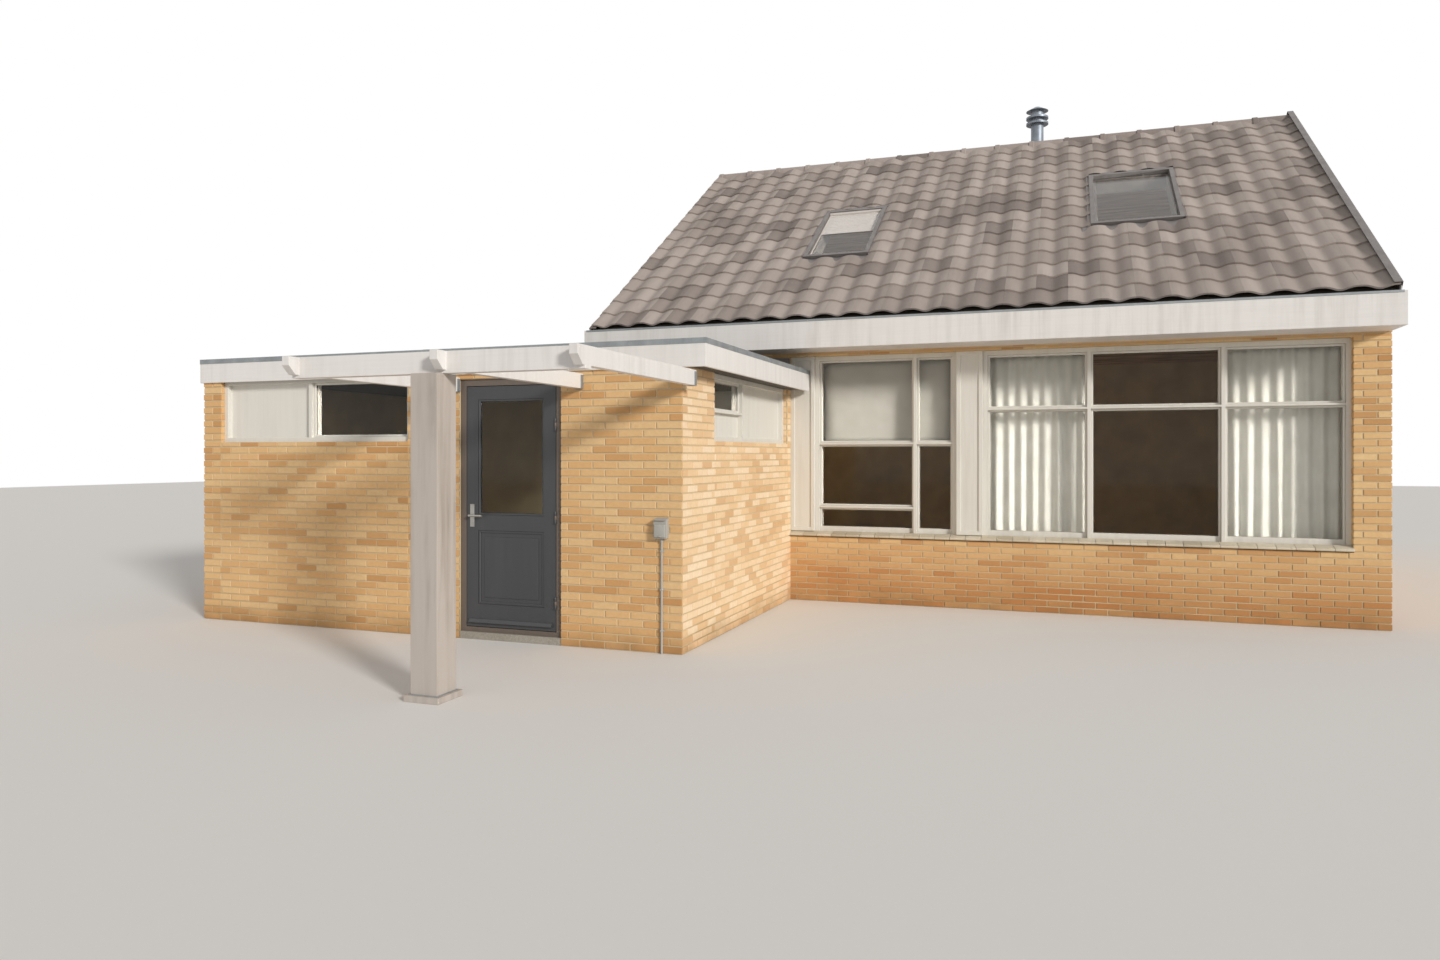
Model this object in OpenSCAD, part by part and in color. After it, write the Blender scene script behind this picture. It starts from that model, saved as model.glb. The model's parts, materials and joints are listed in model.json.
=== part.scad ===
// Single-storey brick house with a tiled saddle roof, and a flat-roofed brick annexe
// with an open pergola on one post in front of it. Millimetres. Ground is z = 0.
// The source is laid out from the left gable's outer face (x), the facade (y) and the
// ground (z), and node_at_origin() moves it so that the origin is under the middle.

/* [House] */
// Length of the house along the ridge
house_l = 7600; // [7200:100:8400]
// Depth of the house from facade to rear wall
house_d = 8000; // [7600:100:9000]
// Thickness of the house's cavity walls
wall_t = 280; // [240:10:320]
// Height of the facade where its outer face meets the roof
wall_h = 2900; // [2800:50:3100]
// Height of the window sill above the ground
sill_z = 680; // [600:20:800]
// Height of the window heads above the ground
head_z = 2600; // [2500:10:2620]

/* [Roof] */
// Pitch of the saddle roof, in degrees
roof_pitch = 34; // [30:1:38]
// Thickness of the roof, square to its slope
roof_t = 180; // [150:10:220]
// How far the roof slabs reach past the facade
eaves_over = 240; // [200:10:300]
// How far the boxed gutter reaches past the facade
gutter_over = 450; // [420:10:520]
// How far the roof passes the left gable
verge_over = 120; // [80:10:200]

/* [Annexe] */
// Where the annexe's left wall stands, left of the house's gable
annexe_left = 2770; // [2400:10:3000]
// Where the annexe's right wall stands, right of the gable line
annexe_right = 2120; // [2000:10:2200]
// Depth of the annexe in front of the facade
annexe_d = 3060; // [2800:20:3400]
// Thickness of the annexe's walls
annexe_wall_t = 200; // [150:10:220]
// Height of the annexe's walls
annexe_h = 2250; // [2240:2:2300]
// Height of the brick below the annexe's strip windows
strip_z = 1667; // [1500:1:1700]
// How far the pergola reaches in front of the annexe
pergola_d = 1900; // [1200:20:2100]
// Width of the pergola's post
pergola_post_w = 200; // [120:10:220]

/* [Doorway] */
// Left side of the doorway, from the gable line
door_x = 80; // [60:10:120]
// Width of the doorway in the brickwork
door_w = 980; // [940:10:1000]
// Height of the doorway
door_h = 2190; // [2150:5:2200]

/* [Hidden] */
$fn = 48;

// Heights of the roof, measured from the facade's outer face
slope = tan(roof_pitch);
roof_t_plumb = roof_t / cos(roof_pitch);
ridge_y = house_d / 2;
ridge_z = wall_h + ridge_y * slope;
ridge_top = ridge_z + roof_t_plumb;
function under_z(y) = wall_h + min(y, house_d - y) * slope;
function top_z(y) = under_z(y) + roof_t_plumb;

// Main facade: a boarded post, the kitchen window, a second post, the living room window
floor_t = 150;
kitchen_x = 2380;
kitchen_w = 1480;
post_board_w = 260;
facade_posts = [kitchen_x - post_board_w, kitchen_x + kitchen_w];
kitchen_x1 = facade_posts[1];
living_x = facade_posts[1] + post_board_w;
living_w = house_l - wall_t - living_x;
window_h = head_z - sill_z;

// Window joinery
frame_d = 114;
frame_face = 62;
rebate = 18;
rebate_d = 46;
frame_set_back = 70;
glass_t = 24;
transom_z = 1330;
transom_t = 56;
casement_z = 900;
mullion_t = 70;

// Mullion centres and pane rails of each window, from its own lower left corner. Kitchen:
// a wide casement under a top light, with a low fixed light, and a narrow casement. Living
// room: three lights, each under its own top light.
kitchen_splits = [kitchen_w - 420];
kitchen_rails = [[casement_z - sill_z + 100, transom_z - 340], [transom_z - 340]];
living_splits = [1000, 2170];
living_rails = [[transom_z], [transom_z], [transom_z]];

// The boarded post's front face, and the panel sunk into it
post_front = 30;
post_margin = 40;
post_sunk = 12;

// Front sill of fired tiles, with its drip
sill_t = 60;
sill_proud = 45;

// Living room curtains, drawn to the two sides, and the kitchen's roller blind
curtain_t = 10;
curtain_gap = 60;
curtain_fold = 110;
curtain_depth = 34;
curtain_bottom = sill_z + 40;
curtain_side = 30;
curtain_meet = 20;
rail_h = 44;
rail_gap = 12;
blind_t = 6;
blind_gap = 40;
blind_side = 20;
blind_bar_h = 26;
blind_bar_proud = 5;

// Rear wall: each window's left side and width
rear_windows = [[2930, 1050], [4180, 1050]];
rear_sill_z = 900;
rear_rail = transom_z - 150;

// Boxed gutters and verge
gutter_bottom = 2640;
gutter_top = 2930;
gutter_board = 25;
gutter_floor = 50;
verge_t = 28;
verge_drop = 60;

// Roof windows, as [x, distance up the slope from the facade plane, width, length]
roof_lights = [[1980, 1400, 780, 1480], [5160, 1750, 940, 1600]];
light_frame = 75;
light_proud = 70;
light_rebate = 26;

// Flue
flue_x = 4510;
flue_y = ridge_y + 420;
flue_r = 85;
flue_top = 6430;
flue_foot = 200;
flashing_r = 210;
flashing_h = 420;
cowl_r = 150;
cowl_ring_t = 26;
cowl_rings = [190, 110];
cowl_cap_r = 40;
cowl_cap_h = 60;

// Ridge capping
cap_r = 125;
cap_sink = 55;

// Annexe
annexe_x0 = -annexe_left;
annexe_x1 = annexe_right;
annexe_y0 = -annexe_d;
annexe_floor_t = 60;
strip_x1 = -440;
strip_bay_split = -1550;
strip_h = annexe_h - strip_z;
strip_w = strip_x1 - annexe_x0 - annexe_wall_t;
strip_splits = [strip_bay_split - annexe_x0 - annexe_wall_t];
strip_rails = [[], []];
strip_boards = [[0, 0]];
strip_board_t = 20;
side_strip_y0 = -2350;
side_strip_y1 = -120;
side_w = side_strip_y1 - side_strip_y0;
side_splits = [880];
side_rails = [[260], []];
side_boards = [[0, 0], [1, 0]];
annexe_set_back = 40;

// Flat roof: deck and fascia boards
deck_t = 180;
roof_side_over = 180;
roof_x1 = annexe_x1 + roof_side_over;
fascia_t = 28;
fascia_drop = 20;
fascia_lip = 20;

// Pergola: a front beam on one post, and rafters that run back to the annexe's wall
pergola_x0 = 30;
pergola_x1 = 2240;
pergola_y0 = annexe_y0 - pergola_d;
pergola_top = 2205;
rafter_w = 60;
rafter_h = 120;
rafter_clear = 140;
rafter_end = 90;
beam_w = 80;
beam_h = 140;
beam_y = pergola_y0 + rafter_end;
beam_z = pergola_top - beam_h;
pad_w = 260;
pad_h = 40;

// Socket box beside the door
socket_x = 1900;
socket_z = 900;
socket_w = 110;
socket_h = 160;
socket_d = 55;
socket_hood = 18;

// Door
door_frame_w = 58;
door_frame_d = 110;
door_gap = 6;
threshold_h = 40;
leaf_t = 44;
leaf_set_back = 22;
door_stop = 14;
leaf_x0 = door_x + door_frame_w + door_gap;
leaf_w = door_w - 2 * door_frame_w - 2 * door_gap;
leaf_z0 = annexe_floor_t + threshold_h + door_gap;
leaf_h = door_h - door_frame_w - door_gap - leaf_z0;
leaf_y0 = annexe_y0 + leaf_set_back;
leaf_stile = 110;
leaf_rail_low = 190;
leaf_panel_h = 620;
leaf_rail_mid = 130;
pane_t = 20;
panel_sunk = 13;
hinge_r = 9;
hinge_h = 102;
hinge_plate_t = 3;
hinge_plate_w = 38;
hinge_gap = 2;
hinge_heights = [180, 880, 1640];
hinge_x = leaf_x0 + leaf_w + door_gap / 2;
hinge_y = leaf_y0 - hinge_r;
handle_z = 1040;
handle_r = 10;
handle_reach = 46;
handle_len = 130;
plate_w = 42;
plate_h = 190;
plate_t = 6;

// The middle of the whole object's box
box_x = (annexe_x0 - fascia_t + house_l) / 2;
box_y = (pergola_y0 + house_d + gutter_over) / 2;

// Shared shapes

// Moves a piece so that the origin is under the middle of the object
module node_at_origin() {
    translate([-box_x, -box_y, 0]) children();
}

// A block given by its two opposite corners
module block(low, high) {
    translate(low) cube(high - low);
}

// A profile of [y, z] points, run along x from x0 to x1
module along_x(x0, x1) {
    translate([x0, 0, 0])
        rotate([90, 0, 90])
            linear_extrude(height = x1 - x0)
                children();
}

// A profile of [x, z] points, run back along y from y0 to y1
module along_y(y0, y1) {
    translate([0, y1, 0])
        rotate([90, 0, 0])
            linear_extrude(height = y1 - y0)
                children();
}

// Lays its children on the front slope: x along the eaves, y up the slope, z out of the roof
module on_front_slope() {
    translate([0, 0, wall_h])
        rotate([roof_pitch, 0, 0])
            children();
}

// Where light number i starts and ends, in a row split at the mullion centres
function light_start(splits, i) =
    i == 0 ? frame_face : splits[i - 1] + mullion_t / 2;
function light_end(splits, i, w) =
    i == len(splits) ? w - frame_face : splits[i] - mullion_t / 2;

// A timber window frame in the x-z plane, its outer face at y = 0. splits are the mullion
// centres, and each light in rails is cut into panes at the heights given for it.
module window_frame(w, h, splits, rails) {
    difference() {
        cube([w, frame_d, h]);
        for (i = [0 : len(splits)])
            for (j = [0 : len(rails[i])])
                light_cut(light_start(splits, i), light_end(splits, i, w),
                          pane_low(rails[i], j), pane_high(rails[i], j, h));
    }
}

// Pane heights within a light
function pane_low(rail, j) = j == 0 ? frame_face : rail[j - 1] + transom_t / 2;
function pane_high(rail, j, h) = j == len(rail) ? h - frame_face : rail[j] - transom_t / 2;

// A pane's opening, wider in front of the glass so that the frame has a rebate
module light_cut(x0, x1, z0, z1) {
    block([x0, -1, z0], [x1, frame_d + 1, z1]);
    block([x0 - rebate, -1, z0 - rebate], [x1 + rebate, frame_d - rebate_d, z1 + rebate]);
}

// A sheet of thickness t in the rebate of light number i, pane number j
module infill(w, h, splits, rails, i, j, t) {
    block([light_start(splits, i) - rebate, frame_d - rebate_d - t,
           pane_low(rails[i], j) - rebate],
          [light_end(splits, i, w) + rebate, frame_d - rebate_d,
           pane_high(rails[i], j, h) + rebate]);
}

// The glass of such a frame, in all of its openings but those that are boarded
module window_panes(w, h, splits, rails, boarded = []) {
    for (i = [0 : len(splits)])
        for (j = [0 : len(rails[i])])
            if (len([for (b = boarded) if (b == [i, j]) b]) == 0)
                infill(w, h, splits, rails, i, j, glass_t);
}

// The boards in the openings that have no glass
module window_boards(w, h, splits, rails, boarded) {
    for (b = boarded)
        infill(w, h, splits, rails, b[0], b[1], strip_board_t);
}

// House walls

module house_floor() {
    color("dimgray")
        block([wall_t, wall_t, 0], [house_l - wall_t, house_d - wall_t, floor_t]);
}

module front_wall_base() {
    color("peru")
        block([wall_t, 0, 0], [house_l - wall_t, wall_t, sill_z]);
}

module front_wall_left() {
    color("burlywood")
        block([wall_t, 0, sill_z], [facade_posts[0], wall_t, head_z]);
}

// The wall over the windows. Its top is cut to the roof's slope.
module front_wall_head() {
    color("burlywood")
        along_x(wall_t, house_l - wall_t)
            polygon([[0, head_z], [wall_t, head_z], [wall_t, under_z(wall_t)], [0, wall_h]]);
}

// A gable: the end wall's outline, from the ground to the underside of the roof
module gable(x0) {
    along_x(x0, x0 + wall_t)
        polygon([[0, 0], [house_d, 0], [house_d, wall_h], [ridge_y, ridge_z], [0, wall_h]]);
}

module left_gable_wall() {
    color("burlywood") gable(0);
}

module party_wall() {
    color("burlywood") gable(house_l - wall_t);
}

module rear_wall_base() {
    color("peru")
        block([wall_t, house_d - wall_t, 0], [house_l - wall_t, house_d, rear_sill_z]);
}

// The brickwork left, between and right of the rear windows
module rear_wall_piers() {
    starts = [wall_t, for (w = rear_windows) w[0] + w[1]];
    ends = [for (w = rear_windows) w[0], house_l - wall_t];
    color("burlywood")
        for (i = [0 : len(starts) - 1])
            block([starts[i], house_d - wall_t, rear_sill_z], [ends[i], house_d, head_z]);
}

module rear_wall_head() {
    color("burlywood")
        along_x(wall_t, house_l - wall_t)
            polygon([[house_d - wall_t, head_z], [house_d, head_z], [house_d, wall_h],
                     [house_d - wall_t, under_z(house_d - wall_t)]]);
}

// Saddle roof

// One slope of the roof, cut plumb at the ridge and at the eaves
module roof_slab() {
    along_x(-verge_over, house_l)
        polygon([[-eaves_over, under_z(-eaves_over)], [ridge_y, ridge_z],
                 [ridge_y, ridge_top], [-eaves_over, top_z(-eaves_over)]]);
}

module roof_front_slope() {
    color("rosybrown")
        difference() {
            roof_slab();
            on_front_slope()
                for (l = roof_lights)
                    block([l[0], l[1], -1], [l[0] + l[2], l[1] + l[3], roof_t + 1]);
        }
}

module roof_rear_slope() {
    color("rosybrown")
        translate([0, house_d, 0])
            mirror([0, 1, 0])
                roof_slab();
}

// Half-round capping that beds on the two slopes
module ridge_capping() {
    color("dimgray")
        along_x(-verge_over, house_l)
            difference() {
                translate([ridge_y, ridge_top - cap_sink]) circle(r = cap_r);
                polygon([[ridge_y - 2 * cap_r, ridge_top - 4 * cap_r],
                         [ridge_y + 2 * cap_r, ridge_top - 4 * cap_r],
                         [ridge_y + 2 * cap_r, top_z(ridge_y + 2 * cap_r)],
                         [ridge_y, ridge_top],
                         [ridge_y - 2 * cap_r, top_z(ridge_y - 2 * cap_r)]]);
            }
}

// The boxed gutter's outline: soffit, fascia board, open channel, and the filling under
// the roof's edge. y is 0 at the wall.
module gutter_outline() {
    polygon([[0, gutter_bottom], [-gutter_over, gutter_bottom], [-gutter_over, gutter_top],
             [-gutter_over + gutter_board, gutter_top],
             [-gutter_over + gutter_board, gutter_bottom + gutter_floor],
             [-eaves_over, gutter_bottom + gutter_floor],
             [-eaves_over, under_z(-eaves_over)], [0, wall_h]]);
}

// One gutter along the facade, with a board across each end of its channel
module boxed_gutter() {
    along_x(-verge_over, house_l) gutter_outline();
    for (x = [-verge_over, house_l - gutter_board])
        along_x(x, x + gutter_board)
            polygon([[-gutter_over, gutter_bottom], [-gutter_over, gutter_top],
                     [-eaves_over, gutter_top], [-eaves_over, gutter_bottom]]);
}

module front_gutter() {
    color("whitesmoke") boxed_gutter();
}

module rear_gutter() {
    color("whitesmoke") translate([0, house_d, 0]) mirror([0, 1, 0]) boxed_gutter();
}

// The board that closes the roof's left edge, from eaves to eaves over the ridge
module left_verge_board() {
    eaves_z = under_z(-eaves_over);
    color("whitesmoke")
        along_x(-verge_over - verge_t, -verge_over)
            polygon([[-eaves_over, eaves_z - verge_drop], [ridge_y, ridge_z - verge_drop],
                     [house_d + eaves_over, eaves_z - verge_drop],
                     [house_d + eaves_over, eaves_z + roof_t_plumb], [ridge_y, ridge_top],
                     [-eaves_over, eaves_z + roof_t_plumb]]);
}

// Flue behind the ridge, with a flashing cone at its foot and a cowl on top
module flue_pipe() {
    foot = top_z(flue_y) - flue_foot;
    color("slategray")
        difference() {
            translate([flue_x, flue_y, 0]) {
                translate([0, 0, foot]) cylinder(r = flue_r, h = flue_top - foot);
                translate([0, 0, foot]) cylinder(r1 = flashing_r, r2 = flue_r, h = flashing_h);
                for (drop = cowl_rings)
                    translate([0, 0, flue_top - drop]) cylinder(r = cowl_r, h = cowl_ring_t);
                translate([0, 0, flue_top])
                    cylinder(r1 = cowl_r, r2 = cowl_cap_r, h = cowl_cap_h);
            }
            along_x(0, house_l)
                polygon([[ridge_y, 0], [house_d, 0], [house_d, top_z(house_d)],
                         [ridge_y, ridge_top]]);
        }
}

// A roof window's frame, standing a little proud of the tiles, with a rebate for its pane
module roof_light_frame(l) {
    on_front_slope()
        translate([l[0], l[1], 0])
            difference() {
                cube([l[2], l[3], roof_t + light_proud]);
                block([light_frame, light_frame, -1],
                      [l[2] - light_frame, l[3] - light_frame, roof_t + light_proud + 1]);
                block([light_frame - light_rebate, light_frame - light_rebate, roof_t],
                      [l[2] - light_frame + light_rebate, l[3] - light_frame + light_rebate,
                       roof_t + light_proud + 1]);
            }
}

module roof_window_frames() {
    color("dimgray")
        for (l = roof_lights)
            roof_light_frame(l);
}

module roof_window_glass() {
    inset = light_frame - light_rebate;
    color("lightsteelblue", 0.5)
        on_front_slope()
            for (l = roof_lights)
                translate([l[0] + inset, l[1] + inset, roof_t])
                    cube([l[2] - 2 * inset, l[3] - 2 * inset, glass_t]);
}

// Facade windows

module kitchen_window_frame() {
    color("white")
        translate([kitchen_x, frame_set_back, sill_z])
            window_frame(kitchen_w, window_h, kitchen_splits, kitchen_rails);
}

module living_window_frame() {
    color("white")
        translate([living_x, frame_set_back, sill_z])
            window_frame(living_w, window_h, living_splits, living_rails);
}

// The boarded posts at the two sides of the kitchen window, each with a sunk panel
module front_window_posts() {
    foot = sill_z + sill_t;
    w = post_board_w;
    color("white")
        for (x = facade_posts)
            translate([x, 0, 0])
                difference() {
                    block([0, post_front, sill_z], [w, frame_set_back + frame_d, head_z]);
                    block([-1, post_front - 1, sill_z - 1], [w + 1, frame_set_back, foot]);
                    block([post_margin, post_front - 1, foot + post_margin],
                          [w - post_margin, post_front + post_sunk, head_z - post_margin]);
                }
}

module front_window_glass() {
    color("lightsteelblue", 0.4) {
        translate([kitchen_x, frame_set_back, sill_z])
            window_panes(kitchen_w, window_h, kitchen_splits, kitchen_rails);
        translate([living_x, frame_set_back, sill_z])
            window_panes(living_w, window_h, living_splits, living_rails);
    }
}

// Sloping sill of fired tiles in front of the frames, with a drip edge
module front_window_sill() {
    color("sienna")
        along_x(facade_posts[0], house_l - wall_t)
            polygon([[-sill_proud, sill_z], [frame_set_back, sill_z],
                     [frame_set_back, sill_z + sill_t], [-sill_proud, sill_z + sill_t / 2]]);
}

// One pleated curtain from x0 to x1: a thin sheet that runs in folds
module curtain(x0, x1) {
    folds = round((x1 - x0) / curtain_fold);
    steps = folds * 8;
    middle = frame_set_back + frame_d + curtain_gap + curtain_depth;
    function fold_y(i) = middle + curtain_depth * sin(360 * folds * i / steps);
    front = [for (i = [0 : steps]) [x0 + (x1 - x0) * i / steps, fold_y(i)]];
    back = [for (i = [steps : -1 : 0]) [x0 + (x1 - x0) * i / steps, fold_y(i) + curtain_t]];
    translate([0, 0, curtain_bottom])
        linear_extrude(height = head_z - rail_h - curtain_bottom)
            polygon(concat(front, back));
}

module living_curtains() {
    color("ivory") {
        curtain(living_x + curtain_side, living_x + living_splits[0] - curtain_meet);
        curtain(living_x + living_splits[1] + curtain_meet, living_x + living_w - curtain_side);
    }
}

// The kitchen's blind, half drawn, with a bar along its lower edge
module kitchen_blind() {
    x0 = kitchen_x + blind_side;
    x1 = kitchen_x1 - blind_side;
    y = frame_set_back + frame_d + blind_gap;
    low = sill_z + kitchen_rails[0][1];
    color("ivory") {
        block([x0, y, low], [x1, y + blind_t, head_z - rail_h]);
        block([x0, y - blind_bar_proud, low - blind_bar_h],
              [x1, y + blind_t + blind_bar_proud, low]);
    }
}

// The rails that carry the curtains and the blind, under the wall's head
module curtain_rails() {
    front = frame_set_back + frame_d + rail_gap;
    color("white")
        for (x = [[kitchen_x, kitchen_x1], [living_x, living_x + living_w]])
            block([x[0], front, head_z - rail_h], [x[1], wall_t, head_z]);
}

// Rear windows

module rear_window_frames() {
    color("white")
        for (w = rear_windows)
            translate([w[0] + w[1], house_d - frame_set_back, rear_sill_z])
                rotate([0, 0, 180])
                    window_frame(w[1], head_z - rear_sill_z, [w[1] / 2],
                                 [[rear_rail], [rear_rail]]);
}

module rear_window_glass() {
    color("lightsteelblue", 0.4)
        for (w = rear_windows)
            translate([w[0] + w[1], house_d - frame_set_back, rear_sill_z])
                rotate([0, 0, 180])
                    window_panes(w[1], head_z - rear_sill_z, [w[1] / 2],
                                 [[rear_rail], [rear_rail]]);
}

// Annexe walls

module annexe_floor() {
    color("dimgray") {
        block([annexe_x0 + annexe_wall_t, annexe_y0 + annexe_wall_t, 0],
              [annexe_x1 - annexe_wall_t, 0, annexe_floor_t]);
        block([door_x, annexe_y0, 0],
              [door_x + door_w, annexe_y0 + annexe_wall_t + 1, annexe_floor_t]);
    }
}

// Low brickwork under the strip window, with full-height piers at the corner and beside
// the doorway
module annexe_front_wall_left() {
    color("burlywood")
        along_y(annexe_y0, annexe_y0 + annexe_wall_t)
            polygon([[annexe_x0, 0], [door_x, 0], [door_x, annexe_h], [strip_x1, annexe_h],
                     [strip_x1, strip_z], [annexe_x0 + annexe_wall_t, strip_z],
                     [annexe_x0 + annexe_wall_t, annexe_h], [annexe_x0, annexe_h]]);
}

// Brickwork right of the doorway, which carries on over the door
module annexe_front_wall_right() {
    color("burlywood")
        along_y(annexe_y0, annexe_y0 + annexe_wall_t)
            polygon([[door_x + door_w, 0], [annexe_x1, 0], [annexe_x1, annexe_h],
                     [door_x, annexe_h], [door_x, door_h], [door_x + door_w, door_h]]);
}

module annexe_left_wall() {
    color("burlywood")
        block([annexe_x0, annexe_y0 + annexe_wall_t, 0],
              [annexe_x0 + annexe_wall_t, 0, annexe_h]);
}

// Closes the annexe left of the house
module annexe_rear_wall() {
    color("burlywood")
        block([annexe_x0 + annexe_wall_t, -annexe_wall_t, annexe_floor_t], [0, 0, annexe_h]);
}

// Right wall, with the high strip window cut into its top near the house
module annexe_side_wall() {
    color("wheat")
        along_x(annexe_x1 - annexe_wall_t, annexe_x1)
            polygon([[annexe_y0 + annexe_wall_t, 0], [0, 0], [0, annexe_h],
                     [side_strip_y1, annexe_h], [side_strip_y1, strip_z],
                     [side_strip_y0, strip_z], [side_strip_y0, annexe_h],
                     [annexe_y0 + annexe_wall_t, annexe_h]]);
}

// Annexe windows

module in_strip_wall() {
    translate([annexe_x0 + annexe_wall_t, annexe_y0 + annexe_set_back, strip_z])
        children();
}

// The front strip's frame, boarded in its left light and glazed in the right one
module strip_window_frame() {
    color("white")
        in_strip_wall() {
            window_frame(strip_w, strip_h, strip_splits, strip_rails);
            window_boards(strip_w, strip_h, strip_splits, strip_rails, strip_boards);
        }
}

// Puts a window in the right wall, its outer face to the right
module in_side_wall() {
    translate([annexe_x1 - annexe_set_back, side_strip_y0, strip_z])
        rotate([0, 0, 90])
            children();
}

// The side strip's frame: boarded too, but for one small pane at its front
module side_window_frame() {
    color("white")
        in_side_wall() {
            window_frame(side_w, strip_h, side_splits, side_rails);
            window_boards(side_w, strip_h, side_splits, side_rails, side_boards);
        }
}

module annexe_window_glass() {
    color("lightsteelblue", 0.4) {
        in_strip_wall() window_panes(strip_w, strip_h, strip_splits, strip_rails, strip_boards);
        in_side_wall() window_panes(side_w, strip_h, side_splits, side_rails, side_boards);
    }
}

// Flat roof

// The flat roof's outline from above, grown outwards by grow on its free sides
module flat_roof_outline(grow) {
    polygon([[annexe_x0 - grow, annexe_y0 - grow], [roof_x1 + grow, annexe_y0 - grow],
             [roof_x1 + grow, 0], [0, 0], [0, grow], [annexe_x0 - grow, grow]]);
}

module annexe_roof() {
    color("darkgray")
        translate([0, 0, annexe_h])
            linear_extrude(height = deck_t)
                flat_roof_outline(0);
}

// Fascia boards round the free sides, a little higher and lower than the deck
module annexe_fascia() {
    color("whitesmoke")
        translate([0, 0, annexe_h - fascia_drop])
            linear_extrude(height = fascia_drop + deck_t + fascia_lip)
                difference() {
                    flat_roof_outline(fascia_t);
                    flat_roof_outline(0);
                }
}

// Pergola

// Front beam, and rafters notched over it that end in a slanted cut. The middle one stands
// far enough from the door's hinges for the leaf to open past a right angle.
module pergola_beams() {
    low = pergola_top - rafter_h;
    color("whitesmoke") {
        block([pergola_x0, beam_y, beam_z], [pergola_x1, beam_y + beam_w, pergola_top]);
        for (x = [pergola_x0, door_x + door_w + rafter_clear, pergola_x1 - rafter_w])
            along_x(x, x + rafter_w)
                polygon([[pergola_y0, pergola_top], [pergola_y0, pergola_top - rafter_h / 2],
                         [pergola_y0 + rafter_h / 2, low], [annexe_y0, low],
                         [annexe_y0, pergola_top]]);
    }
}

// Post under the middle of the front beam, on a concrete pad
module pergola_post() {
    pad_over = (pad_w - pergola_post_w) / 2;
    x = (pergola_x0 + pergola_x1 - pergola_post_w) / 2;
    y = beam_y + (beam_w - pergola_post_w) / 2;
    color("gainsboro")
        translate([x, y, 0]) {
            translate([0, 0, pad_h]) cube([pergola_post_w, pergola_post_w, beam_z - pad_h]);
            translate([-pad_over, -pad_over, 0]) cube([pad_w, pad_w, pad_h]);
        }
}

// A small weatherproof socket box on the wall right of the door, under its sloping hood
module wall_socket_box() {
    color("gainsboro")
        along_x(socket_x, socket_x + socket_w)
            polygon([[annexe_y0, socket_z], [annexe_y0 - socket_d, socket_z],
                     [annexe_y0 - socket_d, socket_z + socket_h - socket_hood],
                     [annexe_y0 - socket_d - socket_hood, socket_z + socket_h - socket_hood],
                     [annexe_y0, socket_z + socket_h]]);
}

// Annexe door

// Half of one butt hinge, its axis at x = y = 0 and its foot at z = 0: a plate on the side
// that dir gives, with a knuckle and its web at each of the given thirds of the height
module hinge_half(dir, thirds) {
    third = hinge_h / 3;
    mirror([dir > 0 ? 0 : 1, 0, 0])
        block([hinge_r + hinge_gap, hinge_r - hinge_plate_t, 0],
              [hinge_plate_w, hinge_r, hinge_h]);
    for (i = thirds)
        translate([0, 0, i * third + hinge_gap / 2]) {
            cylinder(r = hinge_r, h = third - hinge_gap);
            mirror([dir > 0 ? 0 : 1, 0, 0])
                block([0, hinge_r - hinge_plate_t, 0],
                      [hinge_r + hinge_gap + 1, hinge_r, third - hinge_gap]);
        }
}

module at_door_hinges() {
    for (z = hinge_heights)
        translate([hinge_x, hinge_y, leaf_z0 + z])
            children();
}

// The frame round the leaf, with a stop behind it and the fixed halves of the hinges
module annexe_door_frame() {
    y1 = leaf_y0 + door_frame_d;
    x0 = door_x + door_frame_w;
    x1 = door_x + door_w - door_frame_w;
    z0 = annexe_floor_t + threshold_h;
    z1 = door_h - door_frame_w;
    color("dimgray") {
        difference() {
            block([door_x, leaf_y0, annexe_floor_t], [door_x + door_w, y1, door_h]);
            block([x0, leaf_y0 - 1, z0], [x1, leaf_y0 + leaf_t + door_gap, z1]);
            block([x0 + door_stop, leaf_y0 - 1, z0], [x1 - door_stop, y1 + 1, z1 - door_stop]);
        }
        at_door_hinges() hinge_half(1, [1]);
    }
}

// The leaf: a glazed upper light over a panel sunk on both faces, with its hinge halves
module annexe_door_leaf() {
    color("darkslategray") {
        at_door_hinges() hinge_half(-1, [0, 2]);
        translate([leaf_x0, leaf_y0, leaf_z0])
            difference() {
                cube([leaf_w, leaf_t, leaf_h]);
                block([leaf_stile, -1, leaf_rail_low + leaf_panel_h + leaf_rail_mid],
                      [leaf_w - leaf_stile, leaf_t + 1, leaf_h - leaf_stile]);
                for (y = [-1, leaf_t - panel_sunk])
                    block([leaf_stile, y, leaf_rail_low],
                          [leaf_w - leaf_stile, y + panel_sunk + 1,
                           leaf_rail_low + leaf_panel_h]);
            }
    }
}

module annexe_door_pane() {
    color("lightsteelblue", 0.4)
        translate([leaf_x0, leaf_y0 + (leaf_t - pane_t) / 2, leaf_z0])
            block([leaf_stile, 0, leaf_rail_low + leaf_panel_h + leaf_rail_mid],
                  [leaf_w - leaf_stile, pane_t, leaf_h - leaf_stile]);
}

// Lever handle on its plate, outside
module annexe_door_handle() {
    x = leaf_x0 + leaf_stile / 2;
    color("silver")
        translate([x, leaf_y0, handle_z]) {
            translate([-plate_w / 2, -plate_t, -plate_h / 2]) cube([plate_w, plate_t, plate_h]);
            rotate([90, 0, 0]) cylinder(r = handle_r, h = handle_reach);
            translate([-handle_r, -handle_reach, 0])
                rotate([0, 90, 0])
                    cylinder(r = handle_r, h = handle_len);
        }
}

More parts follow.
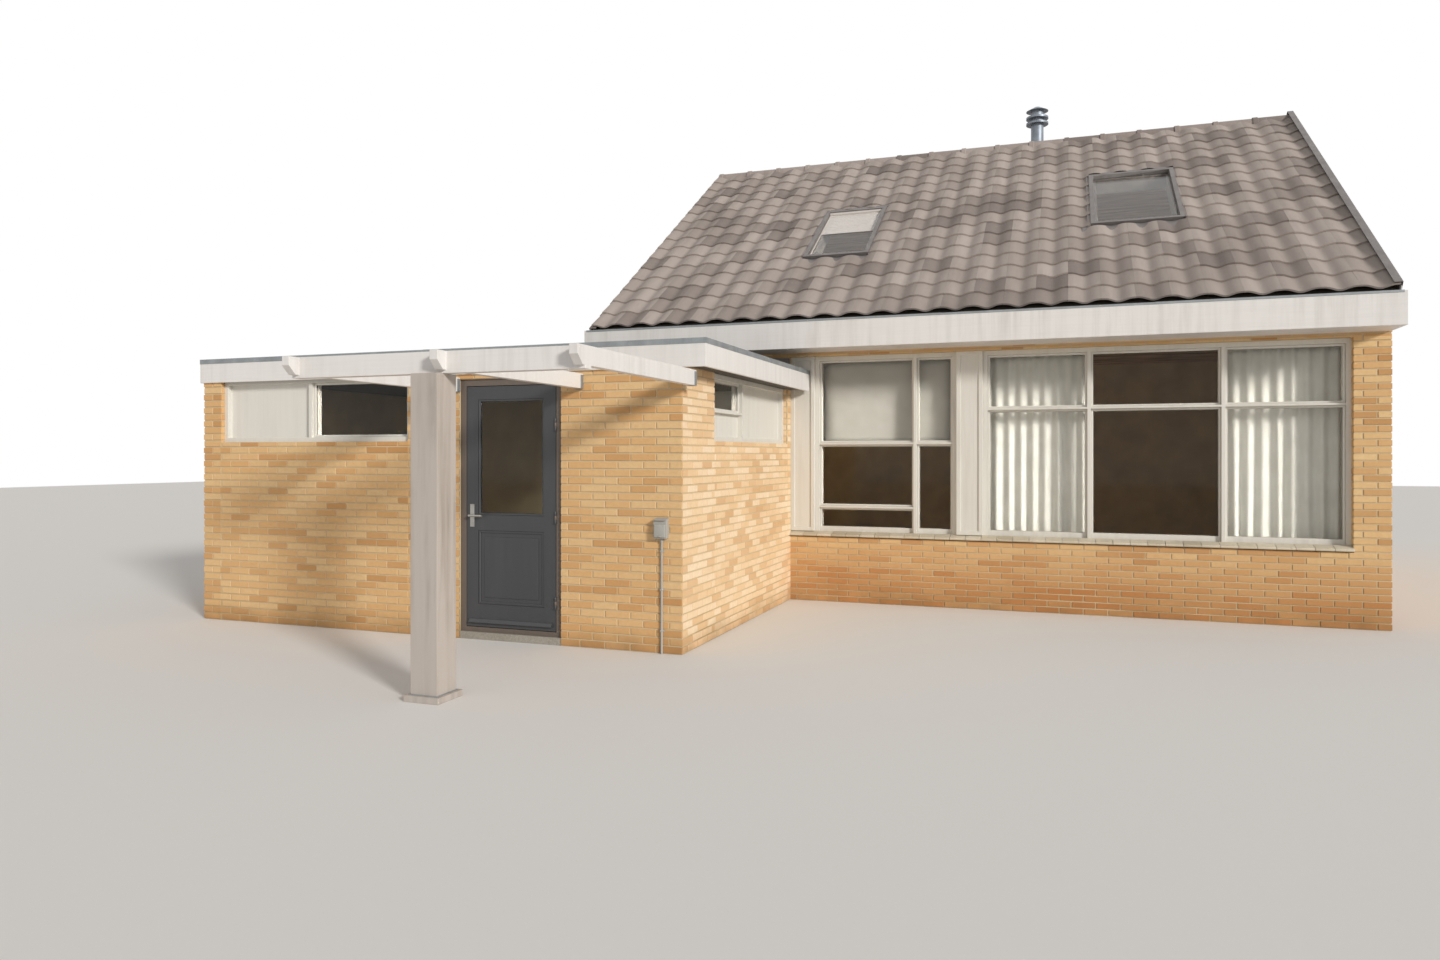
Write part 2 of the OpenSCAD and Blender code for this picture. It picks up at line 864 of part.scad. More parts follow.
node_at_origin() house_floor();
node_at_origin() front_wall_base();
node_at_origin() front_wall_left();
node_at_origin() front_wall_head();
node_at_origin() left_gable_wall();
node_at_origin() party_wall();
node_at_origin() rear_wall_base();
node_at_origin() rear_wall_piers();
node_at_origin() rear_wall_head();
node_at_origin() roof_front_slope();
node_at_origin() roof_rear_slope();
node_at_origin() ridge_capping();
node_at_origin() front_gutter();
node_at_origin() rear_gutter();
node_at_origin() left_verge_board();
node_at_origin() flue_pipe();
node_at_origin() roof_window_frames();
node_at_origin() roof_window_glass();
node_at_origin() kitchen_window_frame();
node_at_origin() living_window_frame();
node_at_origin() front_window_posts();
node_at_origin() front_window_glass();
node_at_origin() front_window_sill();
node_at_origin() living_curtains();
node_at_origin() kitchen_blind();
node_at_origin() curtain_rails();
node_at_origin() rear_window_frames();
node_at_origin() rear_window_glass();
node_at_origin() annexe_floor();
node_at_origin() annexe_front_wall_left();
node_at_origin() annexe_front_wall_right();
node_at_origin() annexe_left_wall();
node_at_origin() annexe_rear_wall();
node_at_origin() annexe_side_wall();
node_at_origin() strip_window_frame();
node_at_origin() side_window_frame();
node_at_origin() annexe_window_glass();
node_at_origin() annexe_roof();
node_at_origin() annexe_fascia();
node_at_origin() pergola_beams();
node_at_origin() pergola_post();
node_at_origin() wall_socket_box();
node_at_origin() annexe_door_frame();
node_at_origin() annexe_door_leaf();
node_at_origin() annexe_door_pane();
node_at_origin() annexe_door_handle();
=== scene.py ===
"""Looks of a brick bungalow with a flat-roofed annexe and an open pergola.

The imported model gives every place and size. This script lays the bricks, the roof and ridge
tiles and the sill tiles, hangs the curtains and the blind, adds the joinery's small parts,
and gives each surface its finish.
"""

import json
import logging
import math
import random
from collections.abc import Callable, Sequence
from dataclasses import astuple, dataclass, field
from enum import Enum
from functools import cache
from typing import ClassVar

import bmesh
import bpy
from mathutils import Matrix, Vector


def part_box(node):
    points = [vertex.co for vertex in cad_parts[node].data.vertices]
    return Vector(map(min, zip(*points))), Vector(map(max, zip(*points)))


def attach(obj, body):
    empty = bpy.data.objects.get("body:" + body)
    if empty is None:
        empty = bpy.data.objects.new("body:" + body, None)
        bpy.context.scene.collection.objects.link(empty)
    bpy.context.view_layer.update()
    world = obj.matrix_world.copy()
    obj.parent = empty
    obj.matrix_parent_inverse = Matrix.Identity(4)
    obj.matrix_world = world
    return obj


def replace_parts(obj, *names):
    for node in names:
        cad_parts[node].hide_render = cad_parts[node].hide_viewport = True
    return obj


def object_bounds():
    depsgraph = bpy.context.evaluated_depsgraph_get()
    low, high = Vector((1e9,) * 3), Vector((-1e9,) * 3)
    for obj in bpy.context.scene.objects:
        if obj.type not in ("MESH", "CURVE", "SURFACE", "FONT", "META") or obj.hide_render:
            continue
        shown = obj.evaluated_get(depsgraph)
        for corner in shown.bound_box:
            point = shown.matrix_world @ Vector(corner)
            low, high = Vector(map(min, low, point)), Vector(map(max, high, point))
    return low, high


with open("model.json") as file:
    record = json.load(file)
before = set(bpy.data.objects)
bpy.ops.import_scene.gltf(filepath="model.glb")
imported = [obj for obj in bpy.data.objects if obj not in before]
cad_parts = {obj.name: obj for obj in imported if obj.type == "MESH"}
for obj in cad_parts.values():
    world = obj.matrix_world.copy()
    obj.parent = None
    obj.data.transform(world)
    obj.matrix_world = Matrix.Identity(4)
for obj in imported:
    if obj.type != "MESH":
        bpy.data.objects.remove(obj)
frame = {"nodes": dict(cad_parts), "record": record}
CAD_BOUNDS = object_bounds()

LOG = logging.getLogger("brick_bungalow")
BODY = "building"
DOOR_BODY = "annexe_door"
X, Y, Z = Vector((1, 0, 0)), Vector((0, 1, 0)), Vector((0, 0, 1))
WELD = 1e-5

Material = bpy.types.Material
Mesh = bpy.types.Mesh
Socket = bpy.types.NodeSocket
Outline = Sequence[tuple[float, float]]
Triple = tuple[float, float, float]


def srgb(code: str) -> Triple:
    """Turns a six-digit colour code into linear red, green and blue."""
    parts = [int(code[i:i + 2], 16) / 255 for i in (0, 2, 4)]
    return tuple(p / 12.92 if p <= 0.04045 else ((p + 0.055) / 1.055) ** 2.4 for p in parts)


def maths(kind: str, swapped: bool = False) -> Callable[..., "Value"]:
    """Makes an operator for values.

    Args:
        kind: the Math node's operation.
        swapped: whether the other number comes first.

    Returns:
        A method that adds the Math node.
    """
    def step(value: "Value", other: object = 0.0) -> "Value":
        """Adds the Math node to the value's tree."""
        pair = (other, value) if swapped else (value, other)
        return value.tree.out("ShaderNodeMath", dict(enumerate(pair)), operation=kind)
    return step


@dataclass(frozen=True, eq=False)
class Value:
    """A node's output that can be used in sums."""

    tree: "Tree"
    socket: Socket

    __add__ = maths("ADD")
    __sub__ = maths("SUBTRACT")
    __rsub__ = maths("SUBTRACT", True)
    __mul__ = maths("MULTIPLY")
    __truediv__ = maths("DIVIDE")
    __mod__ = maths("MODULO")
    __pow__ = maths("POWER")
    __lt__ = maths("LESS_THAN")
    __gt__ = maths("GREATER_THAN")
    __abs__ = maths("ABSOLUTE")
    __floor__ = maths("FLOOR")
    __ceil__ = maths("CEIL")
    cosine = maths("COSINE")
    least = maths("MINIMUM")
    most = maths("MAXIMUM")
    fold = maths("PINGPONG")

    def spread(self, low: float, high: float, to_low: float = 0.0,
               to_high: float = 1.0) -> "Value":
        """Maps the range from low to high onto another one, and clamps the result."""
        inputs = dict(enumerate((self, low, high, to_low, to_high)))
        return self.tree.out("ShaderNodeMapRange", inputs)


@dataclass
class Tree:
    """A node tree under construction."""

    tree: bpy.types.NodeTree

    def node(self, kind: str, inputs: dict[int | str, object] | None = None,
             **settings: object) -> bpy.types.Node:
        """Adds a node.

        Args:
            kind: the node's full type name.
            inputs: a value, a socket or a plain number for inputs, by name or by number.
            **settings: attributes to set on the node.

        Returns:
            The new node.
        """
        made = self.tree.nodes.new(kind)
        for name, value in settings.items():
            setattr(made, name, value)
        for key, value in (inputs or {}).items():
            self.feed(made.inputs[key], value)
        return made

    def feed(self, target: Socket, value: object) -> None:
        """Gives an input its value.

        Args:
            target: the input.
            value: a value or a socket to link, or else a number or a colour to set.
        """
        source = value.socket if isinstance(value, Value) else value
        if isinstance(source, Socket):
            self.tree.links.new(source, target)
        elif target.type == "RGBA":
            target.default_value = (*(srgb(source) if isinstance(source, str) else source), 1.0)
        else:
            target.default_value = source

    def out(self, kind: str, inputs: dict[int | str, object] | None = None,
            which: int | str = 0, **settings: object) -> Value:
        """Adds a node, as node() does, and gives one of its outputs."""
        return Value(self, self.node(kind, inputs, **settings).outputs[which])

    def axes(self, vector: Value) -> list[Value]:
        """The x, y and z of a vector."""
        return [Value(self, s) for s in self.node("ShaderNodeSeparateXYZ", {0: vector}).outputs]


class Shader(Tree):
    """A material's node tree under construction, with one Principled shader."""

    def __init__(self, name: str) -> None:
        """Starts a material.

        Args:
            name: the material's name.
        """
        self.material = bpy.data.materials.new(name)
        self.material.use_nodes = True
        super().__init__(self.material.node_tree)
        self.tree.nodes.clear()
        self.surface = self.node("ShaderNodeBsdfPrincipled")
        self.end = self.node("ShaderNodeOutputMaterial", {"Surface": self.surface.outputs[0]})

    def place(self, *scale: float) -> Value:
        """Object coordinates, each axis multiplied by its scale."""
        spot = self.out("ShaderNodeTexCoord", which="Object")
        return self.out("ShaderNodeMapping", {"Vector": spot, "Scale": scale or (1, 1, 1)})

    def noise(self, vector: Value, scale: float, detail: float = 4.0,
              rough: float = 0.55) -> Value:
        """Noise from 0 to 1, with some features to the metre and finer octaves on them."""
        return self.out("ShaderNodeTexNoise", {
            "Vector": vector, "Scale": scale, "Detail": detail, "Roughness": rough}, "Fac")

    def tone(self) -> Value:
        """The random tone that the mesh carries for each brick or tile."""
        return self.out("ShaderNodeAttribute", which="Fac", attribute_name="tone")

    def mix(self, share: object, first: object, second: object) -> Value:
        """Mixes two colours, with share telling how much of the second one shows."""
        return self.out("ShaderNodeMix", {"Factor": share, 6: first, 7: second}, 2,
                        data_type="RGBA")

    def ramp(self, value: Value, *stops: tuple[float, str]) -> Value:
        """Turns a value into a colour.

        Args:
            value: a value from 0 to 1.
            *stops: places from 0 to 1, each with its colour.

        Returns:
            The colour.
        """
        made = self.node("ShaderNodeValToRGB", {0: value})
        elements = made.color_ramp.elements
        while len(elements) < len(stops):
            elements.new(0.5)
        for element, (place, colour) in zip(elements, stops):
            element.position = place
            element.color = (*srgb(colour), 1.0)
        return Value(self, made.outputs[0])

    def bump(self, height: Value, depth: float, strength: float) -> None:
        """Raises the surface by a height from 0 to 1, where 1 stands for depth in metres."""
        self.set(Normal=self.out("ShaderNodeBump", {
            "Height": height, "Distance": depth, "Strength": strength}))

    def set(self, **values: object) -> None:
        """Sets the Principled shader's inputs by name, with _ for each space."""
        for name, value in values.items():
            self.feed(self.surface.inputs[name.replace("_", " ")], value)


@dataclass(frozen=True)
class Finish:
    """A finish by the name of its material."""

    name: str

    def build(self) -> Material:
        """Builds the material.

        Returns:
            The material.
        """
        shader = Shader(self.name)
        self.paint(shader)
        return shader.material

    def paint(self, s: Shader) -> None:
        """Leaves the shader plain. Each kind of finish has its own way."""


@dataclass(frozen=True)
class BrickFinish(Finish):
    """Wire-cut buff brick. Each brick reads its own tone, which the mesh carries."""

    pale: str
    middle: str
    deep: str
    low: str
    low_top: float = 0.16
    low_bottom: float = 0.0
    foot_colour: str = "6b5a3e"

    def paint(self, s: Shader) -> None:
        """Draws each brick's tone, the darker foot of the wall and the wire-cut grain.

        Args:
            s: the material's tree.
        """
        spot, tone = s.place(), s.tone()
        body = s.ramp(tone, (0.0, self.deep), (0.3, self.middle), (0.75, self.pale),
                      (1.0, self.middle))
        mottle = s.noise(spot, 26.0, 6.0, 0.65)
        body = s.mix(mottle.spread(0.3, 0.75, 0.0, 0.35), body, self.deep)
        cloud = s.noise(spot, 0.55, 3.0)
        body = s.mix(cloud.spread(0.4, 0.75, 0.0, 0.3), body, self.pale)
        height = s.axes(spot)[2]
        # Darker, more orange bricks towards the bottom of the wall, faded in from low_top down to
        # low_bottom.
        lower_band = height.spread(self.low_top, self.low_bottom) * cloud.spread(0.2, 0.65, 0.55)
        body = s.mix(lower_band, body, s.mix(tone, self.low, self.deep))
        # Darker towards the foot of the wall, in patches, up to 0.22 m.
        foot = height.spread(0.22, 0.0, 0.0, 0.45) * s.noise(spot, 3.5).spread(0.3, 0.7)
        body = s.mix(foot, body, self.foot_colour)
        grit = s.noise(spot, 420.0, 3.0, 0.7)
        pits = s.noise(spot, 60.0, 5.0, 0.7)
        s.bump(grit * 0.35 + pits, 0.0022, 0.8)
        s.set(Base_Color=body, Roughness=pits.spread(0.3, 0.7, 0.78, 0.96),
              Specular_IOR_Level=0.3)


@dataclass(frozen=True)
class MortarFinish(Finish):
    """Pale sand-and-lime joints, darker near the ground, and warm plaster indoors."""

    colour: str
    dark: str
    plaster: str

    def paint(self, s: Shader) -> None:
        """Draws sand and stains, and plaster on the faces of the rooms.

        Args:
            s: the material's tree.
        """
        spot = s.place()
        sand = s.noise(spot, 240.0, 4.0, 0.7)
        foot = s.axes(spot)[2].spread(0.35, 0.0)
        stain = s.noise(spot, 1.6, 5.0).spread(0.3, 0.7)
        body = s.mix(stain * (foot + 0.35), self.colour, self.dark)
        body = s.mix(sand.spread(0.35, 0.7, 0.0, 0.3), body, self.dark)
        trowel = s.noise(spot, 2.5, 5.0).spread(0.35, 0.7, 0.0, 0.3)
        body = s.mix(self.indoors(s, spot), body, s.mix(trowel, self.plaster, self.dark))
        s.bump(sand, 0.0015, 0.7)
        s.set(Base_Color=body, Roughness=0.93, Specular_IOR_Level=0.2)

    def indoors(self, s: Shader, spot: Value, skin: float = 0.004) -> Value:
        """Tells the rooms' faces from all others.

        Args:
            s: the material's tree.
            spot: the place on the wall.
            skin: how far behind a face still counts.

        Returns:
            A mask that is 1 on the faces of both rooms, and 0 elsewhere.
        """
        rooms = (("left_gable_wall", "party_wall", "front_wall_base", "rear_wall_base", 0),
                 ("annexe_left_wall", "annexe_side_wall", "annexe_front_wall_left",
                  "annexe_left_wall", 1))
        masks = []
        for left, right, front, back, corner in rooms:
            spans = ((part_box(left)[1].x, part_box(right)[0].x),
                     (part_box(front)[1].y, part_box(back)[corner].y))
            inside = [abs(axis - (low + high) / 2) < (high - low) / 2 + skin
                      for axis, (low, high) in zip(s.axes(spot), spans)]
            masks.append(inside[0] * inside[1])
        return masks[0].most(masks[1])


@dataclass(frozen=True)
class TileFinish(Finish):
    """Weathered concrete tile: tones from tile to tile, lichen and rain marks."""

    pale: str
    body: str
    dark: str
    lichen: str

    def paint(self, s: Shader) -> None:
        """Draws each tile's tone, rain marks, paler patches and lichen.

        Args:
            s: the material's tree.
        """
        spot = s.place()
        base = s.ramp(s.tone(), (0.0, self.dark), (0.35, self.body), (1.0, self.pale))
        runs = s.noise(s.place(9.0, 1.2, 1.2), 1.0, 5.0, 0.6)
        base = s.mix(runs.spread(0.45, 0.8, 0.0, 0.45), base, self.dark)
        patches = s.noise(spot, 0.7, 4.0)
        base = s.mix(patches.spread(0.45, 0.75, 0.0, 0.35), base, self.pale)
        spots = s.noise(spot, 22.0, 6.0, 0.7)
        lichen = spots.spread(0.6, 0.68) * patches.spread(0.35, 0.6)
        base = s.mix(lichen * 0.55, base, self.lichen)
        s.bump(s.noise(spot, 300.0, 3.0, 0.7) + spots, 0.0016, 0.7)
        s.set(Base_Color=base, Roughness=spots.spread(0.3, 0.7, 0.7, 0.95),
              Specular_IOR_Level=0.35)


class Grain(Enum):
    """The way that a board's brush lines run, by its axis."""

    LEVEL = 0
    UPRIGHT = 2


@dataclass(frozen=True)
class PaintFinish(Finish):
    """Brushed paint on boards: brush lines along one axis, dirt in runs, a dull sheen."""

    colour: str
    dirt: str
    shine: float
    grain: Grain = Grain.LEVEL
    dirt_share: float = 0.3

    def paint(self, s: Shader) -> None:
        """Draws brush lines, runs of dirt and a thin coat.

        Args:
            s: the material's tree.
        """
        along = [70.0, 70.0, 70.0]
        along[self.grain.value] = 2.2
        brush = s.noise(s.place(*along), 1.0, 3.0, 0.6)
        runs = s.noise(s.place(14.0, 14.0, 0.9), 1.0, 5.0, 0.6)
        patches = s.noise(s.place(), 1.1, 4.0)
        share = runs.spread(0.42, 0.78) * patches.spread(0.3, 0.7)
        body = s.mix(share * (self.dirt_share * 2), self.colour, self.dirt)
        body = s.mix(brush.spread(0.4, 0.8, 0.0, 0.08), body, self.dirt)
        s.bump(brush, 0.0006, 0.5)
        s.set(Base_Color=body, Coat_Weight=0.12, Coat_Roughness=0.3,
              Roughness=patches.spread(0.3, 0.7, self.shine, self.shine + 0.14))


@dataclass(frozen=True)
class MetalFinish(Finish):
    """Sheet metal with a patchy, faintly brushed surface."""

    colour: str
    patina: str
    metallic: float
    roughness: float

    def paint(self, s: Shader) -> None:
        """Draws patches of patina and fine upright scratches.

        Args:
            s: the material's tree.
        """
        patches = s.noise(s.place(), 7.0, 5.0, 0.6)
        scratch = s.noise(s.place(160.0, 160.0, 6.0), 1.0, 2.0)
        body = s.mix(patches.spread(0.35, 0.7, 0.0, 0.7), self.colour, self.patina)
        s.bump(patches + scratch * 0.3, 0.0008, 0.5)
        s.set(Base_Color=body, Metallic=self.metallic,
              Roughness=scratch.spread(0.3, 0.7, self.roughness, self.roughness + 0.18))


@dataclass(frozen=True)
class MineralFinish(Finish):
    """A dull mineral surface, such as roofing felt or concrete."""

    colour: str
    fleck: str
    stain: str
    grain: float
    depth: float = 0.0015

    def paint(self, s: Shader) -> None:
        """Draws grains in another colour, and stains.

        Args:
            s: the material's tree.
        """
        grains = s.noise(s.place(), self.grain, 3.0, 0.8)
        stains = s.noise(s.place(), 0.9, 5.0, 0.6)
        body = s.mix(grains.spread(0.42, 0.62), self.colour, self.fleck)
        body = s.mix(stains.spread(0.45, 0.75, 0.0, 0.6), body, self.stain)
        s.bump(grains, self.depth, 0.7)
        s.set(Base_Color=body, Roughness=0.92, Specular_IOR_Level=0.25)


@dataclass(frozen=True)
class DeckFinish(Finish):
    """A roof's deck: felt on top, and planed boards seen from the rooms below."""

    felt: str
    board: str
    seam: str
    pitch: float = 0.14
    groove: float = 0.005

    def paint(self, s: Shader) -> None:
        """Draws boards on the faces that look down, and felt on the others.

        Args:
            s: the material's tree.
        """
        normal = s.out("ShaderNodeTexCoord", which="Normal")
        above = s.axes(normal)[2] > -0.7
        spot = s.place()
        grain = s.noise(s.place(2.0, 40.0, 40.0), 1.0, 4.0, 0.6)
        boards = s.mix(grain.spread(0.35, 0.7), self.board, self.seam)
        edge = s.axes(spot)[2].fold(self.pitch / 2)
        boards = s.mix(edge.spread(self.groove, 0.0), boards, self.seam)
        felt = s.mix(s.noise(spot, 220.0, 3.0, 0.8) * 0.2, self.felt, self.seam)
        s.bump(grain, 0.0008, 0.5)
        s.set(Base_Color=s.mix(above, boards, felt), Roughness=0.9)


@dataclass(frozen=True)
class ClothFinish(Finish):
    """Woven cloth on the piece's own UV map, in metres of flat cloth."""

    colour: str
    shade: str
    threads: float

    def paint(self, s: Shader) -> None:
        """Draws threads both ways, thicker places in the yarn and a soft sheen.

        Args:
            s: the material's tree.
        """
        uv = s.out("ShaderNodeUVMap", uv_map="flat")
        lines = [s.out("ShaderNodeTexWave", {"Vector": uv, "Scale": self.threads / 6.28,
                                             "Distortion": 0.6}, "Fac", bands_direction=way)
                 for way in ("X", "Y")]
        cloth = lines[0] * lines[1]
        slub = s.out("ShaderNodeTexNoise", {"Vector": uv, "Scale": 6.0, "Detail": 5.0}, "Fac")
        body = s.mix(slub.spread(0.35, 0.7, 0.0, 0.35), self.colour, self.shade)
        s.bump(cloth, 0.0005, 0.6)
        s.set(Base_Color=s.mix(cloth * 0.12, body, self.shade), Roughness=0.9,
              Specular_IOR_Level=0.15, Sheen_Weight=0.25, Subsurface_Weight=0.15,
              Subsurface_Scale=0.02, Subsurface_Radius=(1.0, 0.94, 0.86))


@dataclass(frozen=True)
class GlassFinish(Finish):
    """A thin pane: the eye meets tinted glass, and lamps pass through it."""

    tint: Triple
    through: Triple

    def paint(self, s: Shader) -> None:
        """Lets shadow rays pass a clear shader, and all others the glass.

        Args:
            s: the material's tree.
        """
        s.set(Base_Color=self.tint, Roughness=0.02, IOR=1.22, Transmission_Weight=1.0)
        shadow = s.out("ShaderNodeLightPath", which="Is Shadow Ray")
        clear = s.out("ShaderNodeBsdfTransparent", {"Color": self.through})
        blend = s.out("ShaderNodeMixShader", {0: shadow, 1: s.surface.outputs[0], 2: clear})
        s.feed(s.end.inputs["Surface"], blend)


FINISHES: dict[str, Finish] = {
    "brick": BrickFinish("house_buff_brick", "e6c592", "d8ac77", "be8d5b", "b67b49",
                         low_top=0.74, low_bottom=0.22),
    "annexe_brick": BrickFinish("annexe_buff_brick", "e2c08f", "d8ab75", "c18f5b", "b38352"),
    # A paler copy of the annexe brick for its side wall: painted sunlight, for the strong sun on that
    # side.
    "bleached_brick": BrickFinish("bleached_buff_brick", "f0dabb", "e7c69b", "d3aa7d", "c49a6c"),
    "mortar": MortarFinish("lime_mortar", "d9c5a1", "a8946f", "ecd9b0"),
    "roof_tiles": TileFinish("weathered_roof_tile", "b0a49c", "9d9189", "7c716b", "aea996"),
    "ridge_tiles": TileFinish("ridge_tile", "a99d96", "958882", "776c67", "b0ab98"),
    "sill_tiles": TileFinish("sill_tile", "d8cdb8", "cbbfa8", "b0a38b", "a39a80"),
    "white_paint": PaintFinish("white_fascia_paint", "e3dfdb", "a19b92", shine=0.42, dirt_share=0.25),
    "post": PaintFinish("weathered_post_paint", "b8aea5", "7c7166", 0.55, Grain.UPRIGHT, 0.5),
    "white_joinery": PaintFinish("white_window_paint", "dcd8cf", "a59e90", 0.35, Grain.UPRIGHT,
                                 0.2),
    "door_paint": PaintFinish("slate_door_paint", "3d3e41", "565450", 0.38, Grain.UPRIGHT, 0.2),
    "door_frame_paint": PaintFinish("door_frame_paint", "675b52", "4a423b", 0.42, Grain.UPRIGHT,
                                    0.25),
    "floor": PaintFinish("varnished_floor", "d9b888", "a07c50", shine=0.3),
    "slats": PaintFinish("shutter_enamel", "cfc8c1", "8f8881", shine=0.38, dirt_share=0.2),
    "window_glass": GlassFinish("window_glass", (0.96, 0.945, 0.915), (0.93, 0.925, 0.91)),
    "curtain_cloth": ClothFinish("curtain_weave", "dadad4", "c1c1b8", threads=900.0),
    "blind_cloth": ClothFinish("blind_weave", "b9b8b2", "a19e94", threads=600.0),
    "deck": DeckFinish("roof_deck", "55524e", "e0c49a", "a5875c"),
    "roofing_felt": MineralFinish("roofing_felt", "55524e", "7a7670", "6a665c", grain=260.0),
    "concrete": MineralFinish("concrete", "a8a297", "8b857a", "857c6c", grain=120.0),
    "grey_plastic": MineralFinish("grey_plastic", "b4b2ac", "a8a6a0", "8f8b80", grain=300.0,
                                  depth=0.0002),
    "flue_metal": MetalFinish("flue_metal", "8f969e", "6f757c", metallic=0.6, roughness=0.42),
    "roof_window_metal": MetalFinish("roof_window_metal", "76706d", "8f8a86", metallic=0.45,
                                     roughness=0.45),
    "zinc": MetalFinish("weathered_zinc", "9da1a3", "7f8486", metallic=0.5, roughness=0.5),
    "door_metal": MetalFinish("brushed_metal", "b4b2ad", "8f8c86", metallic=0.9, roughness=0.3),
}
SLOT_FINISHES = {"brick": "mortar", "roof_tiles": "deck"}
NODE_FINISHES = {"pergola_post": "post", "house_floor": "floor"}
EASED_SLOTS = {"white_paint", "white_joinery", "door_paint", "door_frame_paint", "concrete",
               "grey_plastic", "roof_window_metal"}


@cache
def finish(name: str) -> Material:
    """The material of a finish, which is built when it is first asked for."""
    return FINISHES[name].build()


def dress_nodes(ease: float = 0.003, sharp: float = 40.0) -> None:
    """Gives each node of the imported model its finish, and eases its sharp edges.

    Args:
        ease: how far the edges are cut back, in metres.
        sharp: the least angle of an edge that is eased, in degrees.
    """
    slots = {part["node"]: part["material_slot"] for part in frame["record"]["subparts"]}
    for name, node in frame["nodes"].items():
        slot = slots[name]
        node.data.materials.clear()
        node.data.materials.append(finish(NODE_FINISHES.get(name, SLOT_FINISHES.get(slot, slot))))
        if slot in EASED_SLOTS:
            node.modifiers.new("weld", "WELD").merge_threshold = WELD
            bevel = node.modifiers.new("ease", "BEVEL")
            bevel.width = ease
            bevel.segments = 2
            bevel.limit_method = "ANGLE"
            bevel.angle_limit = math.radians(sharp)


class Grower(Tree):
    """A geometry node tree with named inputs, among them Seed and Material."""

    def __init__(self, name: str, inputs: dict[str, str]) -> None:
        """Starts the tree.

        Args:
            name: the tree's name.
            inputs: each input's name and its kind of socket.
        """
        super().__init__(bpy.data.node_groups.new(name, "GeometryNodeTree"))
        face = self.tree.interface
        face.new_socket("Geometry", in_out="OUTPUT", socket_type="NodeSocketGeometry")
        self.keys: dict[str, str] = {}
        for label, kind in (inputs | {"Seed": "Int", "Material": "Material"}).items():
            made = face.new_socket(label, in_out="INPUT", socket_type="NodeSocket" + kind)
            self.keys[label] = made.identifier
        self.entry = self.node("NodeGroupInput")

    def __getitem__(self, label: str) -> Value:
        """The value of an input."""
        return Value(self, self.entry.outputs[label])

    def vector(self, x: object, y: object, z: object) -> Value:
        """Three values or numbers as one vector."""
        return self.out("ShaderNodeCombineXYZ", {0: x, 1: y, 2: z})

    def position(self) -> list[Value]:
        """The x, y and z of each point."""
        return self.axes(self.out("GeometryNodeInputPosition"))

    def random(self, low: float, high: float, salt: int) -> Value:
        """A random number for each point, the same at each run. The salt tells uses apart."""
        return self.out("FunctionNodeRandomValue", {"Seed": self["Seed"] + salt, 2: low, 3: high},
                        1, data_type="FLOAT")

    def points(self, count: Value, place: Value) -> Value:
        """Scatters points that each have a random tone.

        Args:
            count: how many there are.
            place: where each one goes.

        Returns:
            The points.
        """
        made = self.out("GeometryNodePoints", {"Count": count, "Position": place})
        return self.out("GeometryNodeStoreNamedAttribute", {
            0: made, "Name": "tone", 3: self.random(0.0, 1.0, 1)}, data_type="FLOAT",
            domain="POINT")

    def laid(self, points: Value, item: Value, *turns: object) -> Value:
        """Lays a copy of an item on each point.

        Args:
            points: the points.
            item: the item.
            *turns: how far each copy is turned round x, y and z, in radians.

        Returns:
            The copies as real geometry.
        """
        made = self.out("GeometryNodeInstanceOnPoints", {
            "Points": points, "Instance": item, "Rotation": self.vector(*turns)})
        return self.out("GeometryNodeRealizeInstances", {0: made})

    def extruded(self, mesh: object, depth: Value, faces: object = True) -> list[Socket]:
        """A mesh with its faces drawn out together, and the selection of their new tops."""
        return list(self.node("GeometryNodeExtrudeMesh", {0: mesh, 1: faces, 3: depth, 4: False},
                              mode="FACES").outputs)[:2]

    def close(self, geometry: Value) -> None:
        """Ends the tree in real geometry that carries the material.

        Args:
            geometry: what the tree has made.
        """
        real = self.out("GeometryNodeRealizeInstances", {0: geometry})
        dressed = self.out("GeometryNodeSetMaterial", {0: real, "Material": self["Material"]})
        self.node("NodeGroupOutput", {0: dressed})

    def grow(self, values: dict[str, object]) -> Mesh:
        """Runs the tree once.

        Args:
            values: a value for each input.

        Returns:
            A plain mesh.
        """
        base = bpy.data.objects.new("growing", bpy.data.meshes.new("growing"))
        bpy.context.scene.collection.objects.link(base)
        modifier = base.modifiers.new("grow", "NODES")
        modifier.node_group = self.tree
        for label, value in values.items():
            modifier[self.keys[label]] = value
        graph = bpy.context.evaluated_depsgraph_get()
        mesh = bpy.data.meshes.new_from_object(base.evaluated_get(graph))
        bpy.data.objects.remove(base)
        return mesh


def frame_of(origin: Vector, along: Vector, up: Vector) -> Matrix:
    """Places a flat surface.

    Args:
        origin: where its own origin lies.
        along: the direction of its x.
        up: the direction of its y.

    Returns:
        The matrix from its own axes to the row frame.
    """
    turned = Matrix((along, up, along.cross(up).normalized())).transposed().to_4x4()
    turned.translation = origin
    return turned


def join(meshes: list[Mesh]) -> Mesh:
    """Puts meshes together.

    Args:
        meshes: the meshes, which are used up.

    Returns:
        One mesh, which keeps their tones where each of them has tones.
    """
    spots: list[Vector] = []
    faces: list[list[int]] = []
    tones: list[float] = []
    toned = all("tone" in mesh.attributes for mesh in meshes)
    for mesh in meshes:
        start = len(spots)
        spots.extend(v.co.copy() for v in mesh.vertices)
        faces.extend([start + i for i in p.vertices] for p in mesh.polygons)
        if toned:
            tones.extend(item.value for item in mesh.attributes["tone"].data)
        bpy.data.meshes.remove(mesh)
    made = bpy.data.meshes.new("joined")
    made.from_pydata(spots, [], faces)
    if toned:
        made.attributes.new("tone", "FLOAT", "POINT").data.foreach_set("value", tones)
    return made


